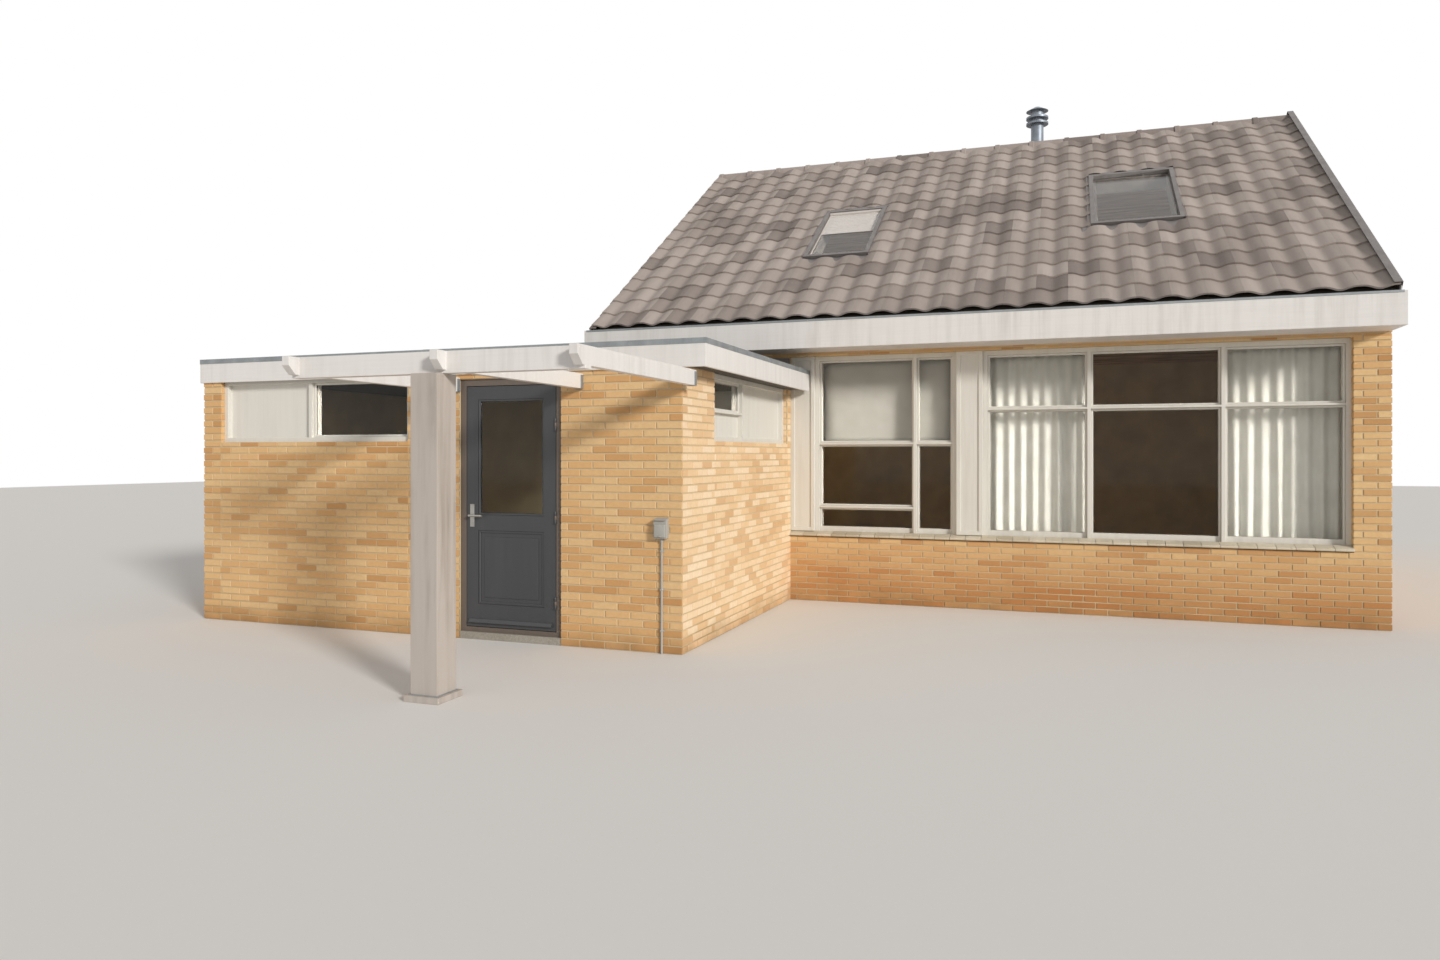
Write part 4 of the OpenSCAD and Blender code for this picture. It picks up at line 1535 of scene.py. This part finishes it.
@dataclass
class SillTiles:
    """Glazed quarry tiles under the windows, sloped to the outside, with a rounded nose."""

    repeater: Repeater
    pitch: float = 0.153
    joint: float = 0.005
    fall: float = 0.024
    thick: float = 0.026
    overhang: float = 0.045
    rear_inset: float = 0.007
    rear_lift: float = 0.034

    def tile(self, depth: float) -> Mesh:
        """Makes one tile.

        Args:
            depth: from its back edge to its nose.

        Returns:
            The tile, with its back edge on the origin and its nose towards -y.
        """
        nose = self.thick / 2
        outline = [(0.0, 0.0), (-depth + nose, -self.fall)]
        for turn in (math.pi * i / 5 for i in range(1, 5)):
            outline.append((-depth + nose - nose * math.sin(turn),
                            -self.fall - nose + nose * math.cos(turn)))
        outline += [(-depth + nose, -self.fall - self.thick), (0.0, -self.thick)]
        half = (self.pitch - self.joint) / 2
        shape = Shape()
        shape.loft([[Vector((x, y * share, z)) for y, z in outline]
                    for x, share in ((-half, 0.996), (-half + 0.002, 1.0),
                                     (half - 0.002, 1.0), (half, 0.996))])
        return shape.done()

    def row(self, left: float, right: float, back: float, top: float, depth: float,
            side: Side) -> Mesh:
        """A row of tiles under one window.

        Args:
            left: where it starts.
            right: where it ends.
            back: the y of its back edge.
            top: the height of its back edge.
            depth: from front to back.
            side: the side of the house that it is on.

        Returns:
            The row's mesh.
        """
        count = round((right - left) / self.pitch)
        pitch = (right - left) / count
        item = self.tile(depth)
        if side is Side.REAR:
            item.transform(Matrix.Rotation(math.pi, 4, "Z"))
        return self.repeater.row(item, Vector((left + pitch / 2, back, top)), X * pitch, count,
                                 "sill_tiles", 0.004)

    def build(self) -> None:
        """Lays the front sill, and a sill under each rear window."""
        low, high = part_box("front_window_sill")
        front = self.row(low.x, high.x - 0.001, high.y, high.z, high.y - low.y, Side.FRONT)
        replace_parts(put("front_sill_tiles", front, "sill_tiles", smooth=35),
                    "front_window_sill")
        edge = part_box("rear_wall_base")[1].y + self.overhang
        rows = [self.row(low.x + self.rear_inset, high.x - self.rear_inset, high.y + 0.001,
                         low.z + self.rear_lift, edge - high.y, Side.REAR)
                for low, high in islands("rear_window_frames")]
        put("rear_sill_tiles", join(rows), "sill_tiles", smooth=35)


@dataclass
class GlazingBeads:
    """Small painted beads that hold the panes and boards in their rebates."""

    rebate: float = 0.018
    width: float = 0.006
    depth: float = 0.011
    rail: float = 0.044

    def around(self, name: str, node: str, side: Side) -> None:
        """Puts a bead round each pane of a node, and a deeper rail under the tall ones.

        Args:
            name: the piece's name.
            node: the panes' node.
            side: the side that the panes face.
        """
        axis, way = side.axis, side.way
        shape = Shape()
        panes = islands(node)
        lowest = min(low.z for low, _ in panes)
        for low, high in panes:
            if (high.x - low.x < high.y - low.y) is (axis == 1):
                continue
            inner, outer = (low[axis], high[axis])[::way]
            tall = node.endswith("window_glass") and low.z < min(lowest + 0.05, 1.2)
            foot = self.rail if tall else 0.0
            shape.border(low, high, self.rebate + 0.002, 0.0005, outer + way * self.depth,
                         outer, axis, foot)
            if tall:
                shape.border(low, high, self.width, self.rebate - 0.001,
                             inner - way * self.depth, inner, axis, foot)
        put(name, shape.done(), "white_joinery")

    def build(self) -> None:
        """Puts the beads in all upright windows."""
        self.around("front_window_beads", "front_window_glass", Side.FRONT)
        self.around("rear_window_beads", "rear_window_glass", Side.REAR)
        self.around("strip_window_beads", "annexe_window_glass", Side.FRONT)
        self.around("side_window_beads", "annexe_window_glass", Side.RIGHT)


@dataclass
class GutterLinings:
    """Zinc troughs in the boxed gutters, lapped at each joint and folded over the front."""

    board: float = 0.025
    floor: float = 0.050
    eaves: float = 0.240
    sheet: float = 0.002
    skin: float = 0.0012
    length: float = 2.57
    overlap: float = 0.03
    lap_lift: float = 0.0015
    fold: float = 0.018
    back_rise: float = 0.045

    def trough(self, side: Side) -> None:
        """Lines a gutter.

        Args:
            side: the side of the house that it is on.
        """
        low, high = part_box(f"{side.name.lower()}_gutter")
        front, wall = (low.y, high.y)[::-side.way]
        way = -side.way
        inner = front + way * (self.board + 0.001)
        back = wall - way * (self.eaves + 0.003)
        bottom = low.z + self.floor + self.sheet
        count = math.ceil((high.x - low.x) / self.length)
        step = (high.x - low.x) / count
        shape = Shape()
        for i in range(count):
            lift = self.lap_lift * (i % 2)
            outer = front - way * (self.sheet + lift)
            line = [(outer, high.z - self.fold), (outer, high.z + self.sheet),
                    (inner, high.z + self.sheet), (inner, bottom), (back, bottom),
                    (back, low.z + self.floor + self.back_rise)]
            ribbon = line + [(y + way * self.skin, z - self.skin) for y, z in reversed(line)]
            ends = (low.x + i * step + (0 if i else self.board + 0.001),
                    min(low.x + (i + 1) * step + self.overlap, high.x - self.board - 0.001))
            shape.loft([[Vector((x, y, z + lift)) for y, z in ribbon] for x in ends], ends=False)
        put(f"{side.name.lower()}_gutter_lining", shape.done(), "flue_metal", "zinc")

    def build(self) -> None:
        """Lines the front and the rear gutter."""
        self.trough(Side.FRONT)
        self.trough(Side.REAR)


def rectangle(wide: float, tall: float) -> Outline:
    """A rectangle's corners, the first one on the origin."""
    return [(0.0, 0.0), (wide, 0.0), (wide, tall), (0.0, tall)]


@dataclass
class RoofEdges:
    """The roof's verges, and the mortar at the ridge's ends."""

    repeater: Repeater
    tiles: RoofTiles
    cloak: float = 0.013
    verge_section: Outline = ((0.0, -0.070), (0.013, -0.070), (0.013, 0.020), (0.085, 0.020),
                              (0.085, 0.036), (0.012, 0.036), (0.0, 0.026))
    board_section: Outline = ((0.0002, -0.186), (0.0080, -0.186), (0.0080, 0.050),
                              (0.0002, 0.050))
    capping_section: Outline = ((0.0082, -0.030), (0.0098, -0.030), (0.0098, 0.090),
                                (-0.055, 0.090), (-0.055, 0.087), (0.0082, 0.087))
    bed: float = 0.022
    bed_share: float = 0.885
    bed_depth: float = 0.075

    def verge(self) -> None:
        """Lays a cloaked tile at the left end of every course."""
        rows = []
        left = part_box("left_verge_board")[0].x - self.cloak - 0.002
        for slope in (Slope.of(Side.FRONT), Slope.of(Side.REAR)):
            count, gauge = self.tiles.courses(slope)
            shape = Shape()
            shape.sweep(self.verge_section, X, slope.out, slope.out * 0.008,
                        slope.up * (gauge + 0.02))
            rows.append(self.repeater.row(shape.done(), slope.at(left, 0.0), slope.up * gauge,
                                          count, "roof_tiles", 0.002))
        put("verge_tiles", join(rows), "roof_tiles")

    def over_gable(self, name: str, outline: Outline, slot: str) -> None:
        """Runs an outline along the right edge: up, over the ridge and down the rear slope.

        Args:
            name: the piece's name.
            outline: points along x and out of the slope.
            slot: the record's material slot.
        """
        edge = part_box("roof_front_slope")[1].x
        front, rear = Slope.of(Side.FRONT), Slope.of(Side.REAR)
        stops = ((front.at(edge, -0.004), front.out),
                 (front.at(edge, front.length), Z / front.out.z),
                 (rear.at(edge, -0.004), rear.out))
        shape = Shape()
        shape.loft([[spot + X * u + out * v for u, v in outline] for spot, out in stops])
        put(name, shape.done(), slot)

    def right_edge(self) -> None:
        """Nails a board over the roof's right edge, with a metal capping on top."""
        self.over_gable("right_verge_board", self.board_section, "white_paint")
        self.over_gable("right_edge_capping", self.capping_section, "roof_window_metal")

    def bedding(self) -> None:
        """Closes both ends of the ridge with mortar, under an arch."""
        low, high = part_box("ridge_capping")
        radius = (high.y - low.y) / 2
        inner = radius * self.bed_share
        arch = [(inner * math.cos(math.pi * k / 12), inner * math.sin(math.pi * k / 12))
                for k in range(13)]
        outline = arch + [(-inner, -self.bed_depth), (inner, -self.bed_depth)]
        shape = Shape()
        for x in (low.x + 0.004, high.x - 0.026):
            spot = Vector((x, (low.y + high.y) / 2, high.z - radius))
            shape.sweep(outline, Y, Z, spot, spot + X * self.bed)
        put("ridge_bedding", shape.done(), "ridge_tiles", "mortar")

    def build(self) -> None:
        """Adds the verges and the bedding."""
        self.verge()
        self.right_edge()
        self.bedding()


@dataclass
class RoofWindowTrim:
    """The left roof window's slatted shutter, and the flashings of both."""

    tiles: RoofTiles
    apron: float = 0.150
    apron_steps: tuple[int, int] = (5, 64)
    apron_skin: float = 0.0025
    apron_beside: float = 0.09
    apron_rise: float = 0.026
    apron_above: float = 0.012
    cheek: float = 0.032
    cheek_height: float = 0.052
    head_sheet: tuple[float, float] = (0.034, 0.056)
    well: float = 0.049
    slat: float = 0.052
    slat_section: Outline = ((0.001, 0.0), (0.049, 0.0), (0.049, 0.005), (0.026, 0.0095),
                             (0.001, 0.005))
    shutter_box: float = 0.062
    box_section: Outline = ((0.0, 0.0), (0.062, 0.0), (0.062, 0.026), (0.050, 0.036),
                            (0.0, 0.036))
    rail: float = 0.014
    rail_height: float = 0.012
    slat_inset: float = 0.012
    shutter_gap: float = 0.004
    above_glass: float = 0.002
    least_gap: float = 0.02

    def shutter(self) -> None:
        """Rolls a slatted shutter half down over the left roof window."""
        slope = Slope.of(Side.FRONT)
        low, high = islands("roof_window_frames")[0]
        middle, half = slope.window(low, high)
        half -= self.well
        rest = self.above_glass + max((corner - slope.foot).dot(slope.out)
                           for corner in islands("roof_window_glass")[0])
        inset = self.well + self.shutter_gap
        left, right = low.x + inset, high.x - inset
        shape = Shape()
        along = middle + half
        shape.sweep(self.box_section, -slope.up, slope.out, slope.at(left, along, rest),
                    slope.at(right, along, rest))
        along -= self.shutter_box
        while along - self.slat > middle + self.least_gap:
            shape.sweep(self.slat_section, -slope.up, slope.out,
                        slope.at(left + self.slat_inset, along, rest),
                        slope.at(right - self.slat_inset, along, rest))
            along -= self.slat
        for x in (left, right - self.rail):
            shape.sweep(rectangle(self.rail, self.rail_height), X, slope.out,
                        slope.at(x, middle - half, rest),
                        slope.at(x, middle + half - 0.06, rest))
        put("roof_window_shutter", shape.done(), "roof_window_metal", "slats", smooth=25)

    def flashings(self) -> None:
        """Dresses a pleated apron over the tiles under each roof window, and side strips."""
        slope = Slope.of(Side.FRONT)
        _, cover = self.tiles.columns()
        rows, across = self.apron_steps
        shape = Shape()
        for low, high in islands("roof_window_frames"):
            centre, half = slope.window(low, high)
            begin, end = centre - half, centre + half
            reach = high.x - low.x + 2 * self.apron_beside
            rings = []
            for r in range(rows + 1):
                soft = 0.45 + 0.55 * r / rows
                line = []
                for c in range(across + 1):
                    x = low.x - self.apron_beside + reach * c / across
                    roll = (math.cos((x - slope.foot.x) / cover * math.tau - math.pi) + 1) / 2
                    line.append((x, self.apron_rise + self.tiles.wave * (
                        (1 - roll ** 1.6) * soft + 0.35 * (1 - soft))))
                along = begin + self.apron_above - (self.apron + self.apron_above) * r / rows
                rings.append([slope.at(x, along, out + self.apron_skin) for x, out in line]
                             + [slope.at(x, along, out) for x, out in reversed(line)])
            shape.loft(rings)
            for x in (low.x - self.cheek, high.x):
                shape.sweep(rectangle(self.cheek, self.cheek_height), X, slope.out,
                            slope.at(x, begin - 0.005), slope.at(x, end + 0.005))
            shape.sweep(rectangle(*self.head_sheet), slope.up, slope.out,
                        slope.at(low.x - self.cheek, end), slope.at(high.x + self.cheek, end))
        put("roof_window_flashings", shape.done(), "roof_window_metal", smooth=50)

    def build(self) -> None:
        """Adds the shutter and the flashings."""
        self.shutter()
        self.flashings()


@dataclass
class FlueCollar:
    """A sheet of metal on the rear slope, with a cone round the flue."""

    sheet: Outline = ((-0.24, -0.30), (0.24, -0.30), (0.24, 0.216), (-0.24, 0.216))
    under: float = 0.046
    over: float = 0.050
    cone: Outline = ((-0.02, 0.17), (0.05, 0.165), (0.10, 0.125), (0.20, 0.100), (0.23, 0.098),
                     (0.23, 0.0865), (-0.02, 0.0865))

    def build(self) -> None:
        """Dresses the sheet and the cone."""
        low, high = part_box("flue_pipe")
        slope = Slope.of(Side.REAR)
        middle = (low + high) / 2
        spot = slope.at(middle.x, (middle.y - slope.foot.y) / slope.up.y)
        shape = Shape()
        shape.turn(self.cone, spot - Z * 0.02, Z, 32)
        shape.sweep(self.sheet, X, slope.up, spot + slope.out * self.under,
                    spot + slope.out * self.over)
        put("flue_collar", shape.done(), "flue_metal", "roof_window_metal", smooth=30)


@dataclass
class FlatRoof:
    """Lapped felt on the annexe's deck, an edge trim on its fascia, and the house flashing."""

    strip: float = 0.98
    lap: float = 0.08
    thick: float = 0.004
    edge: float = 0.004
    steps: int = 40
    board: float = 0.028
    face: float = 0.042
    sheet: float = 0.002
    joint: float = 2.4
    cover: float = 0.0012
    leads: int = 3
    lead_steps: int = 16
    upstand: float = 0.148

    def sheets(self) -> None:
        """Rolls out the felt from front to back, each strip lapped over the one before."""
        low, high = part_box("annexe_roof")
        count = math.ceil((high.y - low.y) / self.strip)
        step = (high.y - low.y) / count
        left, right = low.x + self.edge, high.x - self.edge
        t = self.thick
        shape = Shape()
        for i in range(count):
            front = low.y + self.edge + i * step
            back = min(front + step + self.lap, high.y - self.edge)
            rings = []
            for k in range(self.steps + 1):
                x = left + (right - left) * k / self.steps
                ripple = 0.0012 * math.sin(7.3 * x + 2.1 * i) + 0.0008 * math.sin(23 * x + i)
                rings.append([Vector((x, y, high.z - 0.001 + z)) for y, z in (
                    (front, 0.0), (back, 0.0), (back, t * 0.9 + ripple * 0.4),
                    (back - self.lap, t + ripple), (front + self.lap, t * 1.9 + ripple),
                    (front, t * 2.1 + ripple * 0.5))])
            shape.loft(rings)
        put("felt_sheets", shape.done(), "roofing_felt", smooth=25)

    def edges(self) -> None:
        """Caps the fascia with an aluminium angle and covers its joints."""
        low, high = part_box("annexe_fascia")
        board, t = self.board, self.sheet
        outline = [(-t, -self.face), (0.0, -self.face), (0.0, 0.0), (board, 0.0),
                   (board, -0.012), (board + t, -0.012), (board + t, t), (-t, t)]
        strap = [(u - (self.cover if u <= 0 else 0), v + (self.cover if v >= 0 else 0))
                 for u, v in outline]
        corners = [Vector((x, y, high.z)) for x, y in
                   ((low.x, high.y), (low.x, low.y), (high.x, low.y), (high.x, high.y))]
        shape = Shape()
        for i, inward in enumerate((X, Y, -X)):
            start, end = corners[i:i + 2]
            along = (end - start).normalized()
            stops = ((start + along * (0 if i else t), min(i, 1)), (end, -1 if i < 2 else 0))
            shape.loft([[spot + inward * u + Z * v + along * mitre * u for u, v in outline]
                        for spot, mitre in stops])
            joints = max(1, round((end - start).length / self.joint))
            for k in range(1, joints):
                spot = start + (end - start) * (k / joints)
                shape.sweep(strap, inward, Z, spot - along * 0.03, spot + along * 0.03)
        put("flat_roof_edge_trim", shape.done(), "roof_window_metal", "zinc")

    def flashing(self) -> None:
        """Dresses lead up the house's wall along the flat roof, in lapped lengths."""
        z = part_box("annexe_roof")[1].z + 0.010
        low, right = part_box("left_gable_wall")[0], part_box("annexe_side_wall")[1].x
        step = (right - low.x - 0.02) / self.leads
        shape = Shape()
        for i in range(self.leads):
            start = low.x + 0.008 + i * step
            y = low.y - 0.0075 - 0.0015 * i
            rings = []
            for k in range(self.lead_steps + 1):
                x = min(start + (step + 0.05) * k / self.lead_steps, right - 0.004)
                wave = 0.0012 * math.sin(11 * x)
                rings.append([Vector((x, y + v, z + w)) for v, w in (
                    (0.0, self.upstand + wave), (0.0, 0.004), (-0.12, 0.001 + wave),
                    (-0.12, 0.004 + wave), (-0.004, 0.009), (-0.003, self.upstand + wave))])
            shape.loft(rings)
        put("wall_flashing", shape.done(), "roof_window_metal", smooth=30)

    def build(self) -> None:
        """Covers the flat roof."""
        self.sheets()
        self.edges()
        self.flashing()


@dataclass
class AnnexeDoor:
    """The moving parts of the door's trim: beads, a raised panel, a weather bar, a lock."""

    bead: float = 0.017
    bead_depth: float = 0.009
    moulding: float = 0.020
    panel_foot: float = 0.190
    panel_height: float = 0.620
    field_margin: float = 0.055
    sunk: float = 0.013
    plate: float = 0.006
    plate_width: float = 0.040
    ledge: float = 0.028
    weather_bar: Outline = ((0.001, 0.0), (-0.024, 0.004), (-0.029, 0.009), (-0.028, 0.014),
                            (-0.010, 0.036), (0.001, 0.042))
    screw: float = 0.0034
    cylinder: float = 0.0085

    def front(self) -> float:
        """The y of the leaf's front, as far before the pane as its back is behind it."""
        low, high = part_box("annexe_door_pane")
        return low.y + high.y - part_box("annexe_door_leaf")[1].y

    def trim(self) -> None:
        """Puts beads round the pane, and mouldings round a raised field in the panel."""
        low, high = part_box("annexe_door_pane")
        leaf_low, leaf_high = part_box("annexe_door_leaf")
        foot = leaf_low.z + self.panel_foot
        under = Vector((low.x, low.y, foot))
        over = Vector((high.x, high.y, foot + self.panel_height))
        shape = Shape()
        for pane, face, way in ((low.y, self.front(), 1), (high.y, leaf_high.y, -1)):
            shape.border(low, high, self.bead, 0.0005, pane - way * self.bead_depth, pane)
            sunk = face + way * self.sunk
            shape.border(under, over, self.moulding, 0.0005, face + way * 0.004, sunk)
            deep, proud = sorted((sunk - way * 0.006, sunk + way * 0.001))
            shape.box((under.x + self.field_margin, deep, under.z + self.field_margin),
                      (over.x - self.field_margin, proud, over.z - self.field_margin), 0.004, 2)
        ends = (leaf_low.x + 0.03, low.x + high.x - leaf_low.x - 0.03)
        shape.sweep(self.weather_bar, Y, Z,
                    *(Vector((x, self.front(), leaf_low.z + self.ledge)) for x in ends))
        put("door_trim", shape.done(), "door_paint", body=DOOR_BODY)

    def lock(self) -> None:
        """Adds the cylinder with its rose, and two screws, to the handle's plate."""
        low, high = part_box("annexe_door_handle")
        shape = Shape()
        for r, height in ((self.cylinder, low.z + 0.042), (self.screw, low.z + 0.012),
                          (self.screw, high.z - 0.012)):
            spot = Vector((low.x + self.plate_width / 2, self.front() - self.plate, height))
            shape.turn([(-0.001, r), (r * 0.25, r), (r * 0.38, r * 0.8), (r * 0.4, 0.0003)],
                       spot, -Y, 20)
        put("door_lock", shape.done(), "door_metal", body=DOOR_BODY, smooth=30)

    def build(self) -> None:
        """Adds the door's trim and its lock."""
        self.trim()
        self.lock()


@dataclass
class PergolaFixings:
    """Coach bolts through the front beam, shoes at the wall, and the post's base plate."""

    repeater: Repeater
    bolt_profile: Outline = ((0.0, 0.0165), (0.002, 0.0165), (0.0025, 0.011), (0.005, 0.01012),
                             (0.0075, 0.00682), (0.0085, 0.0008))
    beam: float = 0.090
    shoe: float = 0.031
    shoe_length: float = 0.044
    shoe_top: float = 0.012
    shoe_foot: float = 0.118
    sheet: float = 0.003
    plate: float = 0.108

    def rafters(self) -> list[float]:
        """Reads the rafters' places from the beams' solid.

        Returns:
            The x of each rafter's middle.
        """
        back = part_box("pergola_beams")[1].y
        spots = sorted({round(v.co.x, 4) for v in frame["nodes"]["pergola_beams"].data.vertices
                        if abs(v.co.y - back) < 1e-4})
        return [(a + b) / 2 for a, b in zip(spots[0::2], spots[1::2])]

    def bolt(self, spot: Vector) -> Mesh:
        """Makes a domed bolt head on its washer, looking to -y.

        Args:
            spot: the middle of its foot.

        Returns:
            The bolt head.
        """
        shape = Shape()
        shape.turn(self.bolt_profile, Vector((0, 0, 0)), -Y, 14)
        return self.repeater.row(shape.done(), spot, Z * -0.055, 1, "zinc")

    def build(self) -> None:
        """Adds the fixings."""
        low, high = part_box("pergola_beams")
        shape = Shape()
        back = high.y - 0.001
        front, foot = back - self.shoe_length, high.z - self.shoe_foot
        for x in self.rafters():
            for side in (-1, 1):
                left, right = sorted((x + side * self.shoe, x + side * (self.shoe + self.sheet)))
                shape.box((left, front, foot), (right, back, high.z - self.shoe_top), 0.001)
            half = self.shoe + self.sheet
            shape.box((x - half, front, foot - 0.0055), (x + half, back, foot - 0.0025), 0.001)
        post_low, post_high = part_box("pergola_post")
        x, y, _ = (post_low + post_high) / 2
        base = Shape()
        base.box((x - self.plate, y - self.plate, 0.040),
                 (x + self.plate, y + self.plate, 0.046), 0.0015)
        bolts = [self.bolt(Vector((x, low.y + self.beam, high.z - 0.045)))
                 for x in self.rafters()]
        put("pergola_fixings", join(bolts + [shape.done(), base.done()]), "door_metal", "zinc",
            smooth=30)


@dataclass
class SocketBox:
    """The socket box's hinged lid, its screws and the cable pipe down the wall."""

    depth: float = 0.018
    lid: float = 0.012
    lid_margin: float = 0.008
    grip: float = 0.014
    screw_inset: float = 0.020
    screw: Outline = ((0.0, 0.0001), (0.0, 0.0045), (0.0025, 0.0035), (0.003, 0.0001))
    pipe: float = 0.009
    sleeve: float = 0.013
    clips: tuple[float, ...] = (0.18, 0.50, 0.80)
    clip: tuple[float, float] = (0.020, 0.008)
    hoop: float = 0.0115

    def build(self) -> None:
        """Adds the lid, the pipe and its clips."""
        low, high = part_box("wall_socket_box")
        top, face, wall = high.z - self.depth, low.y + self.depth, high.y - 0.006
        x, y = (low.x + high.x) / 2, wall - self.pipe - 0.002
        shape = Shape()
        front = face - self.lid
        shape.box((low.x + self.lid_margin, front, low.z + 0.010),
                  (high.x - self.lid_margin, face + 0.004, top - 0.030), 0.004, 3)
        shape.box((x - self.grip, front - 0.004, low.z + 0.014),
                  (x + self.grip, front + 0.002, low.z + 0.022), 0.0015, 2)
        for at in (low.x + self.screw_inset, high.x - self.screw_inset):
            shape.turn(self.screw, Vector((at, front, top - 0.042)), -Y, 12)
        shape.turn([(0.0, self.pipe), (low.z - 0.03, self.pipe), (low.z - 0.03, self.sleeve),
                    (low.z + 0.002, self.sleeve)], Vector((x, y, 0.0)), Z, 16)
        wide, tall = self.clip
        for z in self.clips:
            shape.box((x - wide, wall - 0.004, z - tall), (x + wide, wall, z + tall), 0.001)
            shape.box((x - self.hoop, y - self.hoop, z - 0.007),
                      (x + self.hoop, wall, z + 0.007), 0.003, 2)
        put("socket_lid_and_pipe", shape.done(), "grey_plastic", smooth=30)


@dataclass
class Studio:
    """Floor, background, sun and camera. None of it is part of the building."""

    sun_towards: Triple = (0.78, -0.53, 0.33)
    sun_colour: Triple = (1.0, 0.985, 0.96)
    sun_strength: float = 2.6
    sun_width: float = 9.0
    sky_strength: float = 0.44
    floor_half: float = 45.0
    eye: Triple = (2.539, -11.695, 1.55)
    turned_left: float = 20.0
    focal: float = 24.0
    sensor: float = 36.0
    horizon_rise: float = 25 / 1440

    def stand(self, name: str, data: bpy.types.ID) -> bpy.types.Object:
        """Puts an object in the scene.

        Args:
            name: its name.
            data: a mesh, a lamp or a camera.

        Returns:
            The object.
        """
        made = bpy.data.objects.new(name, data)
        bpy.context.scene.collection.objects.link(made)
        return made

    def floor(self) -> None:
        """Lays the pale floor just under the building."""
        h = self.floor_half
        level = CAD_BOUNDS[0][2] - 0.001
        mesh = bpy.data.meshes.new("floor")
        mesh.from_pydata([(x, y, level) for x, y in ((-h, -h), (h, -h), (h, h), (-h, h))], [],
                         [(0, 1, 2, 3)])
        s = Shader("studio_floor")
        s.set(Base_Color="e8e5e1", Roughness=0.9, Specular_IOR_Level=0.1)
        mesh.materials.append(s.material)
        self.stand("studio_floor", mesh)

    def sky(self) -> None:
        """Sets an even light all round, while the camera, metal and glass see white."""
        world = bpy.context.scene.world = bpy.data.worlds.new("studio")
        world.use_nodes = True
        world.node_tree.nodes.clear()
        s = Tree(world.node_tree)
        path = s.node("ShaderNodeLightPath").outputs
        seen = Value(s, path["Is Camera Ray"]).most(path["Is Glossy Ray"])
        level = seen.most(path["Is Transmission Ray"]).spread(0.0, 1.0, self.sky_strength)
        back = s.out("ShaderNodeBackground", {"Color": (1.0, 1.0, 1.0), "Strength": level})
        s.node("ShaderNodeOutputWorld", {"Surface": back})

    def sun(self) -> None:
        """Hangs a wide, soft sun in front, low on the right."""
        lamp = bpy.data.lights.new("studio_sun", "SUN")
        lamp.energy = self.sun_strength
        lamp.angle = math.radians(self.sun_width)
        lamp.color = self.sun_colour
        turned = Vector(self.sun_towards).to_track_quat("Z", "Y").to_euler()
        self.stand("studio_sun", lamp).rotation_euler = turned

    def camera(self) -> None:
        """Stands the camera where the photograph was taken from."""
        lens = bpy.data.cameras.new("photo_view")
        lens.lens = self.focal
        lens.sensor_width = self.sensor
        lens.shift_y = -self.horizon_rise
        lens.clip_end = 300.0
        holder = self.stand("photo_view", lens)
        holder.location = self.eye
        holder.rotation_euler = (math.pi / 2, 0.0, math.radians(self.turned_left))
        bpy.context.scene.camera = holder

    def build(self) -> None:
        """Sets up the whole studio."""
        self.floor()
        self.sky()
        self.sun()
        self.camera()
        bpy.context.scene.view_settings.view_transform = "Standard"


def main() -> None:
    """Builds the studio and dresses the building piece by piece."""
    logging.basicConfig(level=logging.INFO, format="%(message)s")
    Studio().build()
    dress_nodes()
    HouseWalls(Bricklayer("brick")).build()
    AnnexeWalls(Bricklayer("annexe_brick")).build()
    repeater = Repeater()
    tiles = RoofTiles()
    for part in (tiles, RoofEdges(repeater, tiles), RoofWindowTrim(tiles), FlueCollar(),
                 SillTiles(repeater), GlazingBeads(), GutterLinings(), FlatRoof(), AnnexeDoor(),
                 PergolaFixings(repeater), SocketBox(), Hangings()):
        part.build()


if __name__ == "__main__":
    main()
